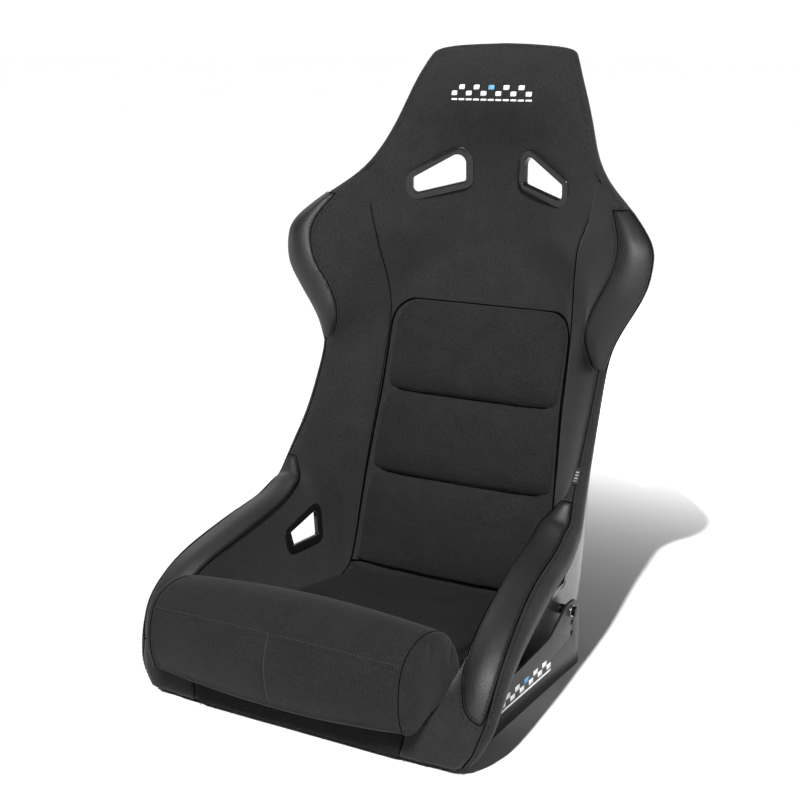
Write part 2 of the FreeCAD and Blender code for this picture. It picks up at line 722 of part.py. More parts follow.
def slot_edges(x, y, width, length):
    """Lines and arcs of a slot that runs along Y."""
    radius, reach = width / 2, (length - width) / 2
    left, right = x - radius, x + radius
    corners = [Vector(left, y - reach, 0), Vector(left, y + reach, 0),
               Vector(right, y + reach, 0), Vector(right, y - reach, 0)]
    far, near = Vector(x, y + reach + radius, 0), Vector(x, y - reach - radius, 0)
    return [Part.LineSegment(corners[0], corners[1]), Part.Arc(corners[1], far, corners[2]),
            Part.LineSegment(corners[2], corners[3]), Part.Arc(corners[3], near, corners[0])]


def rectangle(x0, y0, x1, y1):
    corners = [Vector(x0, y0, 0), Vector(x1, y0, 0), Vector(x1, y1, 0), Vector(x0, y1, 0)]
    return [Part.LineSegment(corners[i], corners[(i + 1) % 4]) for i in range(4)]


def build_bracket(side):
    """L-shaped steel side bracket: an upright plate with bolt holes and a slotted foot."""
    sign = SIDES[side]
    body = new_body("bracket_" + side)
    pitch, clear = size("hole_pitch"), size("bolt_clear")
    holes = []
    for y, z in bolt_places():
        holes += [circle(y, z - pitch * i, clear) for i in range(HOLES_PER_BOLT)]
    upright = sketch_on(body, "YZ_Plane", "plate_sketch_" + side,
                        outline_edges(PLATE_OUTLINE) + holes)
    pad(body, upright, "plate_" + side, "dimensions.plate_thick", sign < 0)
    reach = -sign * size("flange_width")
    foot_edges = rectangle(0, PLATE_FRONT, reach, PLATE_REAR)
    for y in SLOT_PLACES:
        foot_edges += slot_edges(reach / 2, y, size("slot_width"), size("slot_length"))
    foot = sketch_on(body, "XY_Plane", "foot_sketch_" + side, foot_edges)
    pad(body, foot, "foot_" + side, "dimensions.plate_thick")
    corner = Vector(sign * size("plate_inner_x"), 0, size("plate_bottom_z"))
    body.Placement = Placement(corner, Rotation())


def hexagon(flats):
    """Edges of a regular hexagon measured across its flats."""
    radius = flats / math.sqrt(3)
    turns = [math.radians(60 * i) for i in range(6)]
    corners = [Vector(radius * math.cos(turn), radius * math.sin(turn), 0) for turn in turns]
    return [Part.LineSegment(corners[i], corners[(i + 1) % 6]) for i in range(6)]


def bolt_shape():
    """One hexagon-head bolt: the head stands on +Z, the shank hangs below."""
    body = new_body("bolt_pattern_piece")
    head = sketch_on(body, "XY_Plane", "bolt_head_sketch", hexagon(size("bolt_head_flats")))
    pad(body, head, "bolt_head", "dimensions.bolt_head_height")
    shank = sketch_on(body, "XY_Plane", "bolt_shank_sketch", [circle(0, 0, size("bolt_shank"))])
    pad(body, shank, "bolt_shank_pad", "dimensions.bolt_length", True)
    return body


def ring_shape(name, edges, bore, length):
    """A washer, spacer or insert: an outline with a bore, standing on Z = 0."""
    body = new_body(name + "_piece")
    profile = sketch_on(body, "XY_Plane", name + "_sketch", edges + [circle(0, 0, bore)])
    pad(body, profile, name + "_pad", length)
    return body


def four_of(label, body, distance):
    """Four copies on the bolt axes; distance is where the piece's base is, from the seat's middle."""
    copies = []
    for sign in SIDES.values():
        outward = Rotation(Vector(0, 1, 0), 90 * sign)
        for y, z in bolt_places():
            copy = body.Shape.copy()
            copy.Placement = Placement(Vector(sign * distance, y, z), outward)
            copies.append(copy)
    solid_node(label, Part.makeCompound(copies))


def build_fasteners():
    """Bolts, washers, spacers and the shell's threaded inserts."""
    bolt = bolt_shape()
    clear = size("bolt_clear")
    washer = ring_shape("washer", [circle(0, 0, size("washer_outer"))], clear,
                        "dimensions.washer_thick")
    spacer = ring_shape("spacer", hexagon(size("spacer_flats")), clear, "dimensions.spacer_length")
    insert = ring_shape("insert", [circle(0, 0, size("insert_outer"))], size("insert_bore"),
                        "dimensions.insert_length")
    doc.recompute()
    inner, thick = size("plate_inner_x"), size("plate_thick")
    spacer_base = inner - size("spacer_length")
    four_of("mount_bolts", bolt, inner + thick + size("washer_thick"))
    four_of("mount_washers", washer, inner + thick)
    four_of("mount_spacers", spacer, spacer_base)
    four_of("threaded_inserts", insert, spacer_base - size("insert_length"))


# ---------------------------------------------------------------- labels

def surface_placement(surface, along, across, lift):
    """A place on a surface: Z is its normal, X runs across the seat."""
    here = surface(along, across)
    up = normal(surface, along, across, -1, LIP)
    sideways = surface(along, across + PROBE) - surface(along, across - PROBE)
    return Placement(here + up * lift, Rotation(sideways, Vector(), up, "ZXY"))


def build_label(name, width, height, thick, placement):
    """A thin rectangular label: embroidery patch, tag or decal."""
    body = new_body(name)
    edges = rectangle(-width / 2, -height / 2, width / 2, height / 2)
    profile = sketch_on(body, "XY_Plane", name + "_sketch", edges)
    pad(body, profile, name + "_pad", thick)
    body.Placement = placement


def build_labels():
    """The tag on the side seam, the headrest emblem and the brackets' decals."""
    build_label("side_tag", size("tag_width"), size("tag_height"), "dimensions.tag_thick",
                surface_placement(edge_wrap, TAG_ALONG, TAG_ACROSS, TAG_LIFT))
    thick = size("emblem_thick")
    emblem = cover_solid(lining, *EMBLEM_ALONG, -EMBLEM_ACROSS, EMBLEM_ACROSS,
                         thick + EMBLEM_GAP, thick)
    solid_node("headrest_emblem", emblem)
    outer_face = size("plate_inner_x") + size("plate_thick")
    for side, sign in SIDES.items():
        facing = Rotation(Vector(0, sign, 0), Vector(0, 0, 1), Vector(sign, 0, 0), "ZXY")
        place = Placement(Vector(sign * outer_face, DECAL_CENTRE[0], DECAL_CENTRE[1]), facing)
        build_label("bracket_decal_" + side, size("decal_width"), size("decal_height"),
                    "dimensions.decal_thick", place)


PROBE = 0.02
TAG_LIFT = 0.2
EMBLEM_GAP = 0.05
EMBLEM_ALONG, EMBLEM_ACROSS = (1.55, 1.95), 0.98
TAG_ALONG, TAG_ACROSS = 11.72, 5.9
DECAL_CENTRE = (-84.0, 33.0)
ORIGIN_SHIFT = 43.5

# ---------------------------------------------------------------- build and export

PATTERN_PIECES = ["bolt_pattern_piece", "washer_piece", "spacer_piece", "insert_piece"]


def check_document():
    """Stop if any object failed, or any sub-part has no valid shape."""
    for item in doc.Objects:
        if "Invalid" in item.State or "Error" in item.State:
            raise RuntimeError("%s failed: %s" % (item.Label, item.State))
    for node in sub_parts():
        shape = node.Shape
        if shape.isNull() or not shape.isValid() or not shape.Solids or shape.Volume <= 0:
            raise RuntimeError("%s has no valid shape" % node.Label)


def sub_parts():
    """Every object that is a piece of the seat."""
    kinds = ("Part::Feature", "PartDesign::Body")
    return [item for item in doc.Objects if item.TypeId in kinds and item.Label not in PATTERN_PIECES]


def set_origin():
    """Move every piece so that the origin lies under the middle of the seat's box."""
    shift = Placement(Vector(0, ORIGIN_SHIFT, 0), Rotation())
    for node in sub_parts():
        node.Placement = shift.multiply(node.Placement)
    doc.recompute()


def export_parts():
    os.makedirs("parts", exist_ok=True)
    for node in sub_parts():
        node.Shape.exportStep("parts/%s.step" % node.Label)


build_seat()
build_back_cushion()
build_seat_pad()
build_thigh_roll()
build_bezels()
for bracket_side in SIDES:
    build_bracket(bracket_side)
build_fasteners()
build_labels()
doc.recompute()
set_origin()
check_document()
export_parts()
print("%d sub-parts written" % len(sub_parts()))
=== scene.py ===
"""Looks of a fixed-back bucket seat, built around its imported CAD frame, in metres."""

import math

import bmesh
import bpy
import numpy as np
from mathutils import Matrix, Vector, kdtree, noise
from mathutils.bvhtree import BVHTree

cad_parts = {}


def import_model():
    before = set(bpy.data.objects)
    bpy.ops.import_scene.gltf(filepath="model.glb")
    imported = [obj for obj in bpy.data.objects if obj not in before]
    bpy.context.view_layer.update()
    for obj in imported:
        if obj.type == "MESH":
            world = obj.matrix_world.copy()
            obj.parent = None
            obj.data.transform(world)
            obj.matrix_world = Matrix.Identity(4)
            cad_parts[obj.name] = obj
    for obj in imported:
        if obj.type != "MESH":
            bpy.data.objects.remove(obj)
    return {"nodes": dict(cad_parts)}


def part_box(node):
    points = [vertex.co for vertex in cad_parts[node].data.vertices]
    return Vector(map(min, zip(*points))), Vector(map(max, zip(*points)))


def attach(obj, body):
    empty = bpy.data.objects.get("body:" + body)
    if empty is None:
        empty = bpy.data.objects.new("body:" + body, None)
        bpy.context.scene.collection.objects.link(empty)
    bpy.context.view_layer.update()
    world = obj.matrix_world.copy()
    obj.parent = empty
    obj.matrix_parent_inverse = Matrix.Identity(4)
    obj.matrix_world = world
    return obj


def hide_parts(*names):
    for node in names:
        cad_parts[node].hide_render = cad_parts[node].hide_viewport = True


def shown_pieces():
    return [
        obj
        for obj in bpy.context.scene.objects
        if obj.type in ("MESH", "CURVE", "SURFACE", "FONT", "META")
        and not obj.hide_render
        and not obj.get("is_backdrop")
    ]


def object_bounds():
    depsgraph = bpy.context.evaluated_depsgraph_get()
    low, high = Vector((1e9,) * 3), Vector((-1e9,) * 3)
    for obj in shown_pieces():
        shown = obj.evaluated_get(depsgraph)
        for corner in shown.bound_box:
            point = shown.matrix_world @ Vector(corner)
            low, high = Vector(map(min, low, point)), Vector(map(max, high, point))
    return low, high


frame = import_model()
CAD_LOW, CAD_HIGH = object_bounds()
NODES = frame["nodes"]
MM = 0.001
WELD = 0.02 * MM

SIDES = ("left", "right")
PANEL_VOXEL = 2.5 * MM
BAND_VOXEL = 2.2 * MM
PATCH_VOXEL = 1.9 * MM
CUSHION_VOXEL = 4.4 * MM
ROLL_VOXEL = 3.2 * MM
FLAT_ANGLE = math.radians(0.6)
SHARP_ANGLE = math.radians(36)


# -------------------- mesh tools

def arrays(mesh):
    """Corner coordinates and triangles of a mesh."""
    corners = np.zeros(len(mesh.vertices) * 3)
    mesh.vertices.foreach_get("co", corners)
    mesh.calc_loop_triangles()
    triangles = np.zeros(len(mesh.loop_triangles) * 3, int)
    mesh.loop_triangles.foreach_get("vertices", triangles)
    return corners.reshape(-1, 3), triangles.reshape(-1, 3)


def island_labels(count, triangles):
    """One label per corner; corners joined by triangles share it."""
    label = np.arange(count)
    while True:
        spread = label.copy()
        lowest = label[triangles].min(1)
        for corner in range(3):
            np.minimum.at(spread, triangles[:, corner], lowest)
        spread = spread[spread]
        if (spread == label).all():
            return label
        label = spread


def skin(node, facing):
    """Corners and triangles of the largest face of a node that faces one way."""
    corners, triangles = arrays(NODES[node].data)
    label = island_labels(len(corners), triangles)[triangles[:, 0]]
    cross = np.cross(corners[triangles[:, 1]] - corners[triangles[:, 0]],
                     corners[triangles[:, 2]] - corners[triangles[:, 0]])
    best, best_area = None, 0
    for key in np.unique(label):
        part = label == key
        area = np.linalg.norm(cross[part], axis=1).sum()
        if cross[part].sum(0) @ np.array(facing) > 0 and area > best_area:
            best, best_area = part, area
    return corners, triangles[best]


def rims(triangles):
    """Closed rows of corners round the edges of a skin, its surface on the left of each."""
    directed = {(int(t[k]), int(t[(k + 1) % 3])) for t in triangles for k in range(3)}
    following = {a: b for a, b in directed if (b, a) not in directed}
    rows = []
    while following:
        start, point = next(iter(following.items()))
        row = [start]
        del following[start]
        while point != start and point in following:
            row.append(point)
            point = following.pop(point)
        rows.append(row)
    return rows


def evenly(points, step):
    """A closed row of points resampled at an even step."""
    closed = np.vstack([points, points[:1]])
    run = np.concatenate([[0], np.cumsum(np.linalg.norm(np.diff(closed, axis=0), axis=1))])
    count = max(8, int(run[-1] / step))
    stations = np.linspace(0, run[-1], count, endpoint=False)
    return np.stack([np.interp(stations, run, closed[:, k]) for k in range(3)], axis=1)


def tree_of(points):
    """A search tree over points."""
    tree = kdtree.KDTree(len(points))
    for index, point in enumerate(points):
        tree.insert(point, index)
    tree.balance()
    return tree


def surface_of(parts):
    """A search tree over surfaces, each given as (corners, triangles)."""
    corners, faces, offset = [], [], 0
    for points, triangles in parts:
        corners.append(points)
        faces.append(triangles + offset)
        offset += len(points)
    return BVHTree.FromPolygons([Vector(c) for c in np.vstack(corners)],
                                [tuple(int(i) for i in t) for t in np.vstack(faces)])


def surface_of_pieces(pieces):
    return surface_of([arrays(piece.data) for piece in pieces])


def new_piece(name, mesh, material, slot, *replaced):
    """A visible piece that rides on the seat."""
    mesh.name = name
    mesh.materials.clear()
    mesh.materials.append(material)
    piece = bpy.data.objects.new(name, mesh)
    bpy.context.scene.collection.objects.link(piece)
    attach(piece, "root")
    if replaced:
        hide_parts(*replaced)
    return piece


def mesh_from(corners, faces, name="part"):
    mesh = bpy.data.meshes.new(name)
    mesh.from_pydata([tuple(c) for c in corners], [], [tuple(int(i) for i in f) for f in faces])
    mesh.update()
    return mesh


def joined(nodes, extra=(), dissolve=False):
    """One welded mesh holding copies of the named CAD solids and of some other meshes."""
    build = bmesh.new()
    for node in nodes:
        build.from_mesh(NODES[node].data)
    for mesh in extra:
        build.from_mesh(mesh)
    bmesh.ops.remove_doubles(build, verts=build.verts, dist=WELD)
    if dissolve:
        bmesh.ops.dissolve_limit(build, angle_limit=FLAT_ANGLE, verts=build.verts,
                                 edges=build.edges)
    corners = [v.co[:] for v in build.verts]
    build.verts.index_update()
    faces = [[v.index for v in f.verts] for f in build.faces]
    build.free()
    return mesh_from(corners, faces)


def remeshed(mesh, voxel, smoothing):
    """The mesh as one even skin, with its edges rounded by a number of smoothing steps."""
    return modified(mesh, ("REMESH", dict(mode="VOXEL", voxel_size=voxel)),
                    ("SMOOTH", dict(factor=0.5, iterations=smoothing)))


def modified(mesh, *steps):
    """The mesh after modifiers, each given as (type, {setting: value})."""
    holder = bpy.data.objects.new("holder", mesh)
    bpy.context.scene.collection.objects.link(holder)
    for kind, settings in steps:
        modifier = holder.modifiers.new(kind, kind)
        for key, value in settings.items():
            setattr(modifier, key, value)
    shaped = holder.evaluated_get(bpy.context.evaluated_depsgraph_get())
    result = bpy.data.meshes.new_from_object(shaped)
    bpy.data.objects.remove(holder)
    return result


def coordinates(mesh):
    flat = np.zeros(len(mesh.vertices) * 3)
    mesh.vertices.foreach_get("co", flat)
    return flat.reshape(-1, 3)


def normals(mesh):
    mesh.update()
    flat = np.zeros(len(mesh.vertices) * 3)
    mesh.vertices.foreach_get("normal", flat)
    return flat.reshape(-1, 3)


def put(mesh, points):
    mesh.vertices.foreach_set("co", points.ravel())
    mesh.update()


def smooth_shading(mesh):
    mesh.polygons.foreach_set("use_smooth", [True] * len(mesh.polygons))


def distance_to(points, tree, limit):
    """Distance of each point to the nearest tree point, cut off at a limit."""
    found = np.full(len(points), limit)
    for index, point in enumerate(points):
        distance = tree.find(point)[2]
        if distance < limit:
            found[index] = distance
    return found


def ripple(points, size, seed):
    """Smooth noise from -1 to 1 at each point."""
    scaled = points / size + seed
    return np.array([noise.noise(Vector(p)) for p in scaled])


# -------------------- materials

class Graph:
    """Short names for building one node material."""

    def __init__(self, name):
        self.material = bpy.data.materials.new(name)
        self.material.use_nodes = True
        self.tree = self.material.node_tree
        self.shader = self.tree.nodes["Principled BSDF"]
        self.place = self.add("ShaderNodeTexCoord").outputs["Object"]

    def add(self, kind, **settings):
        node = self.tree.nodes.new(kind)
        for key, value in settings.items():
            setattr(node, key, value)
        return node

    def feed(self, socket, value):
        if hasattr(value, "links"):
            self.tree.links.new(value, socket)
        else:
            socket.default_value = value

    def noise(self, size, detail=2.0, rough=0.5):
        """Cloudy variation of a size in metres."""
        node = self.add("ShaderNodeTexNoise")
        self.feed(node.inputs["Vector"], self.place)
        self.feed(node.inputs["Scale"], 1 / size)
        self.feed(node.inputs["Detail"], detail)
        self.feed(node.inputs["Roughness"], rough)
        return node.outputs["Fac"]

    def cells(self, size, feature="F1"):
        """Distance from the middles or edges of irregular cells of a size in metres."""
        node = self.add("ShaderNodeTexVoronoi", feature=feature)
        self.feed(node.inputs["Vector"], self.place)
        self.feed(node.inputs["Scale"], 1 / size)
        return node.outputs["Distance"]

    def wave(self, period, direction, distort=0.0):
        """Soft bands of a period in metres."""
        node = self.add("ShaderNodeTexWave", wave_type="BANDS", bands_direction=direction,
                        wave_profile="SIN")
        self.feed(node.inputs["Vector"], self.place)
        self.feed(node.inputs["Scale"], math.pi / 10 / period)
        self.feed(node.inputs["Distortion"], distort)
        self.feed(node.inputs["Detail"], 1.0)
        self.feed(node.inputs["Detail Scale"], 1.0)
        return node.outputs["Fac"]

    def maths(self, operation, first, second=0.0, clamp=False):
        node = self.add("ShaderNodeMath", operation=operation, use_clamp=clamp)
        self.feed(node.inputs[0], first)
        self.feed(node.inputs[1], second)
        return node.outputs[0]

    def near(self, value, middle, reach):
        """One where a value lies within a reach of the middle, zero elsewhere."""
        node = self.add("ShaderNodeMath", operation="COMPARE")
        self.feed(node.inputs[0], value)
        self.feed(node.inputs[1], middle)
        self.feed(node.inputs[2], reach)
        return node.outputs[0]

    def ramp(self, value, low, high, to_low=0.0, to_high=1.0):
        """A value rescaled from one range to another, and held at its ends."""
        node = self.add("ShaderNodeMapRange")
        self.feed(node.inputs["Value"], value)
        for key, number in zip(("From Min", "From Max", "To Min", "To Max"),
                               (low, high, to_low, to_high)):
            self.feed(node.inputs[key], number)
        return node.outputs["Result"]

    def blend(self, factor, dark, light):
        node = self.add("ShaderNodeMix", data_type="RGBA")
        self.feed(node.inputs[0], factor)
        self.feed(node.inputs[6], dark)
        self.feed(node.inputs[7], light)
        return node.outputs[2]

    def bump(self, height, depth, strength=1.0, under=None):
        node = self.add("ShaderNodeBump")
        self.feed(node.inputs["Height"], height)
        self.feed(node.inputs["Distance"], depth)
        self.feed(node.inputs["Strength"], strength)
        if under:
            self.feed(node.inputs["Normal"], under)
        return node.outputs["Normal"]

    def finish(self, **sockets):
        """Sets the shader's sockets, given by name with _ for each space."""
        for key, value in sockets.items():
            self.feed(self.shader.inputs[key.replace("_", " ")], value)
        return self.material


def grey(level, tint=(1.0, 1.0, 1.0)):
    """A linear grey, slightly tinted."""
    return (level * tint[0], level * tint[1], level * tint[2], 1.0)


COOL = (0.97, 0.99, 1.04)
# The cushion and seat levels are darker copies of the panels' knit: painted shade for the
# cushions, the roll and the upward-facing seat.
FABRIC_LEVEL, CUSHION_SHADED_LEVEL, SEAT_SHADED_LEVEL = 0.0125, 0.0110, 0.0105
DARKEST, LIGHTEST = 0.25, 2.5


def knit_fabric(name, level, sheen, gloss):
    """Black warp-knit seat cloth: small loops, brushed fibre and faint mottling."""
    g = Graph(name)
    loops = g.cells(1.25 * MM)
    fuzz = g.noise(0.8 * MM, 3.0, 0.7)
    grain = g.noise(1.5 * MM, 2.0, 0.6)
    mottle = g.noise(36 * MM, 3.0, 0.55)
    shade = g.maths("ADD", g.ramp(loops, 0.1, 0.75, 0.42, 0.0), g.ramp(fuzz, 0.3, 0.72, 0.0, 0.5))
    shade = g.maths("ADD", shade, g.ramp(grain, 0.32, 0.68, -0.12, 0.2))
    shade = g.maths("MULTIPLY", shade, g.ramp(mottle, 0.3, 0.7, 0.85, 1.12), clamp=True)
    colour = g.blend(shade, grey(level * DARKEST), grey(level * LIGHTEST))
    height = g.maths("ADD", g.ramp(loops, 0.0, 0.8, 1.0, 0.0), g.ramp(fuzz, 0.2, 0.8, 0.0, 0.7))
    bump = g.bump(height, 0.30 * MM, 0.8)
    bump = g.bump(grain, 0.22 * MM, 0.5, bump)
    rough = g.ramp(fuzz, 0.2, 0.8, 0.80, 0.97)
    return g.finish(Base_Color=colour, Roughness=rough, Normal=bump, Sheen_Weight=sheen,
                    Sheen_Roughness=0.45, Specular_IOR_Level=gloss)


def grained_vinyl(name):
    """Black leathercloth with a fine pebble grain, soft gloss and rubbed high spots."""
    g = Graph(name)
    pebble = g.cells(1.5 * MM, "SMOOTH_F1")
    crease = g.cells(2.6 * MM, "DISTANCE_TO_EDGE")
    fine = g.noise(0.6 * MM, 2.0, 0.6)
    broad = g.noise(45 * MM, 2.0, 0.5)
    lines = g.ramp(crease, 0.0, 0.12)
    raised = g.maths("MULTIPLY", lines, 0.8)
    height = g.maths("ADD", g.ramp(pebble, 0.1, 0.8, 1.0, 0.0), raised)
    height = g.maths("ADD", height, g.maths("MULTIPLY", fine, 0.35))
    bump = g.bump(height, 0.16 * MM, 0.7)
    bump = g.bump(broad, 1.6 * MM, 0.25, bump)
    shade = g.maths("MULTIPLY", lines, g.ramp(broad, 0.3, 0.7, 0.75, 1.0), clamp=True)
    colour = g.blend(shade, grey(0.004), grey(0.0125, COOL))
    rubbed = g.ramp(broad, 0.3, 0.7, 0.0, 0.06)
    rough = g.maths("ADD", g.ramp(fine, 0.3, 0.7, 0.44, 0.54), rubbed)
    return g.finish(Base_Color=colour, Roughness=rough, Normal=bump, Specular_IOR_Level=0.5)


def laminate(name):
    """Black gel-coated glass laminate: a faint orange-peel surface under a semi-gloss coat."""
    g = Graph(name)
    peel = g.noise(6 * MM, 2.0, 0.5)
    wide = g.noise(70 * MM, 2.0, 0.5)
    dust = g.noise(1.2 * MM, 3.0, 0.7)
    bump = g.bump(peel, 0.12 * MM, 0.5)
    bump = g.bump(wide, 1.2 * MM, 0.3, bump)
    colour = g.blend(g.ramp(dust, 0.35, 0.75), grey(0.038), grey(0.062, COOL))
    rough = g.maths("ADD", g.ramp(wide, 0.3, 0.7, 0.22, 0.34), g.ramp(dust, 0.4, 0.8, 0.0, 0.1))
    return g.finish(Base_Color=colour, Roughness=rough, Normal=bump, Coat_Weight=0.35,
                    Coat_Roughness=0.18)


def moulded_plastic(name):
    """Black injection-moulded nylon with spark-eroded texture."""
    g = Graph(name)
    spark = g.noise(0.45 * MM, 3.0, 0.7)
    wide = g.noise(16 * MM, 2.0, 0.5)
    bump = g.bump(spark, 0.05 * MM, 0.5)
    bump = g.bump(wide, 0.5 * MM, 0.2, bump)
    colour = g.blend(g.ramp(spark, 0.3, 0.7), grey(0.004), grey(0.009, COOL))
    rough = g.ramp(wide, 0.3, 0.7, 0.16, 0.24)
    return g.finish(Base_Color=colour, Roughness=rough, Normal=bump, Specular_IOR_Level=0.5)


def powder_coat(name):
    """Black powder-coated plate with a fine pebbled skin."""
    g = Graph(name)
    pebble = g.noise(1.1 * MM, 2.0, 0.6)
    wide = g.noise(40 * MM, 2.0, 0.5)
    bump = g.bump(pebble, 0.06 * MM, 0.5)
    colour = g.blend(g.ramp(pebble, 0.3, 0.7), grey(0.009), grey(0.018, COOL))
    rough = g.ramp(wide, 0.3, 0.7, 0.30, 0.42)
    return g.finish(Base_Color=colour, Roughness=rough, Normal=bump, Specular_IOR_Level=0.35)


def metal(name, dark, light, rough_low, rough_high):
    """Plated steel with fine turning marks."""
    g = Graph(name)
    marks = g.noise(0.5 * MM, 3.0, 0.7)
    stain = g.noise(4 * MM, 2.0, 0.6)
    bump = g.bump(marks, 0.03 * MM, 0.5)
    colour = g.blend(g.ramp(stain, 0.3, 0.7), dark, light)
    rough = g.ramp(stain, 0.3, 0.7, rough_low, rough_high)
    return g.finish(Base_Color=colour, Roughness=rough, Normal=bump, Metallic=1.0)


def thread(name, dark, light, rough=0.55, sheen=0.2, gloss=0.5):
    """Twisted sewing or embroidery yarn."""
    g = Graph(name)
    twist = g.maths("ADD", g.wave(0.7 * MM, "DIAGONAL", 0.6), g.noise(0.5 * MM, 2.0, 0.6))
    bump = g.bump(twist, 0.12 * MM, 0.7)
    colour = g.blend(g.ramp(twist, 0.3, 1.4), dark, light)
    return g.finish(Base_Color=colour, Normal=bump, Roughness=rough, Sheen_Weight=sheen,
                    Specular_IOR_Level=gloss)


def printed(name, dark, light):
    """Matt screen-printed ink."""
    g = Graph(name)
    speck = g.noise(0.8 * MM, 3.0, 0.7)
    bump = g.bump(speck, 0.03 * MM, 0.5)
    colour = g.blend(g.ramp(speck, 0.25, 0.75), dark, light)
    return g.finish(Base_Color=colour, Normal=bump, Roughness=g.ramp(speck, 0.3, 0.7, 0.4, 0.55))


# One knit three times; the cushion and seat copies are painted darker, as painted shade.
FABRIC = knit_fabric("knit_fabric", FABRIC_LEVEL, sheen=0.10, gloss=0.2)
CUSHION_FABRIC_SHADED = knit_fabric("cushion_knit_shaded", CUSHION_SHADED_LEVEL, sheen=0.05, gloss=0.14)
SEAT_FABRIC_SHADED = knit_fabric("seat_knit_shaded", SEAT_SHADED_LEVEL, sheen=0.01, gloss=0.07)
VINYL = grained_vinyl("grained_vinyl")
LAMINATE = laminate("gelcoat_laminate")
PLASTIC = moulded_plastic("moulded_nylon")
PAINT = powder_coat("powder_coat")
BLACK_STEEL = metal("black_oxide", grey(0.02), grey(0.05), 0.30, 0.42)
ZINC = metal("zinc_plate", grey(0.45), grey(0.72, COOL), 0.22, 0.36)
BLACK_THREAD = thread("black_thread", grey(0.0008), grey(0.004), rough=0.7, sheen=0.0, gloss=0.15)
GREY_THREAD = thread("grey_thread", grey(0.02), grey(0.055), rough=0.7, sheen=0.0, gloss=0.2)
# A near-black matt cord made with the thread shader, laid along seams as painted shade of the
# seam crevices.
SEAM_SHADOW = thread("seam_shadow", grey(0.0006), grey(0.0025), rough=0.95, sheen=0.0, gloss=0.0)
WHITE_THREAD = thread("white_thread", grey(0.55), grey(0.92))
BLUE_THREAD = thread("blue_thread", (0.06, 0.22, 0.42, 1), (0.16, 0.42, 0.70, 1))
WHITE_INK = printed("white_ink", grey(0.66), grey(0.85))
BLUE_INK = printed("blue_ink", (0.07, 0.25, 0.48, 1), (0.14, 0.38, 0.66, 1))


# -------------------- seams

def sign_of(node):
    """1 for a node on the side of positive x, and -1 for one on the other side."""
    low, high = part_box(node)
    return 1 if low.x + high.x >= 0 else -1


def facing_of(node):
    """Roughly the way the outer face of a cover looks."""
    sign = sign_of(node)
    facings = {"back": (0, -1, 0), "base": (0, 0, 1), "side": (-sign, -0.4, 0.3),
               "edge": (sign, 0, 0), "wing": (0, -1, 0), "thigh": (0, -0.3, 1)}
    return facings[node.split("_")[0]]


COVERS = ["back_cover", "base_cover"]
for part in ("side_cover_", "edge_band_", "wing_patch_", "thigh_patch_"):
    COVERS += [part + side for side in SIDES]
SKINS = {node: skin(node, facing_of(node)) for node in COVERS}
SEAM_STEP = 1.5 * MM
SEAM_ROWS = {node: [evenly(corners[row], SEAM_STEP) for row in rims(triangles)]
             for node, (corners, triangles) in SKINS.items()}


def seam_tree(nodes):
    """A search tree over the seams round some covers."""
    return tree_of(np.vstack([row for node in nodes for row in SEAM_ROWS[node]]))


def normal_lookup(node):
    """A function that gives the outward normal of a cover's outer face at its nearest point."""
    surface = surface_of([SKINS[node]])

    def look(point):
        hit = surface.find_nearest(Vector(point))
        return None if hit[0] is None else np.array(hit[1])

    return look


SHORTEST_RUN = 4


def runs(points, keep):
    """The stretches of a closed row whose points are kept."""
    if keep.all():
        return [np.vstack([points, points[:1]])]
    start = int(np.flatnonzero(~keep)[0])
    points, keep = np.roll(points, -start, axis=0), np.roll(keep, -start)
    stretches, current = [], []
    for point, kept in zip(points, keep):
        if kept:
            current.append(point)
        elif current:
            stretches.append(current)
            current = []
    if current:
        stretches.append(current)
    return [np.array(stretch) for stretch in stretches if len(stretch) > SHORTEST_RUN]


def line_mesh(stretches, radius):
    """Thin round cord along each stretch of points."""
    curve = bpy.data.curves.new("line", "CURVE")
    curve.dimensions = "3D"
    curve.bevel_depth = radius
    curve.bevel_resolution = 1
    curve.use_fill_caps = True
    for stretch in stretches:
        spline = curve.splines.new("POLY")
        spline.points.add(len(stretch) - 1)
        spline.points.foreach_set("co", np.hstack([stretch, np.ones((len(stretch), 1))]).ravel())
    holder = bpy.data.objects.new("holder", curve)
    bpy.context.scene.collection.objects.link(holder)
    mesh = bpy.data.meshes.new_from_object(
        holder.evaluated_get(bpy.context.evaluated_depsgraph_get()))
    bpy.data.objects.remove(holder)
    smooth_shading(mesh)
    return mesh


def sunk(points, look, depth):
    """Points moved inwards from a surface."""
    return np.array([p - look(p) * depth for p in points])


def slab(node, depth, below=None, above=None):
    """The outer skin of a cover, thickened inwards, optionally only below or above a height."""
    build = bmesh.new()
    build.from_mesh(mesh_from(*SKINS[node]))
    bmesh.ops.delete(build, geom=[v for v in build.verts if not v.link_faces], context="VERTS")
    for height, up in ((below, True), (above, False)):
        if height is not None:
            bmesh.ops.bisect_plane(build, geom=build.verts[:] + build.edges[:] + build.faces[:],
                                   plane_co=(0, 0, height), plane_no=(0, 0, 1),
                                   clear_outer=up, clear_inner=not up)
    mesh = bpy.data.meshes.new("slab")
    build.to_mesh(mesh)
    build.free()
    return modified(mesh, ("SOLIDIFY", dict(thickness=depth, offset=-1)))


HEAD_LINE = 0.615
HEAD_FADE = 20 * MM
SEAM_LIMIT = 40 * MM
COVER_REACH, COVER_LOOKS_OUT = 3.5 * MM, 0.2
CROWN, CROWN_REACH = 1.3 * MM, 8 * MM
GROOVE, GROOVE_REACH = 0.9 * MM, 2.4 * MM
PUCKER, PUCKER_SIZE, PUCKER_REACH = 0.22 * MM, 9 * MM, 9 * MM
WAVE, WAVE_SIZE = 0.5 * MM, 65 * MM
PANEL_SMOOTHING, PATCH_SMOOTHING = 3, 4


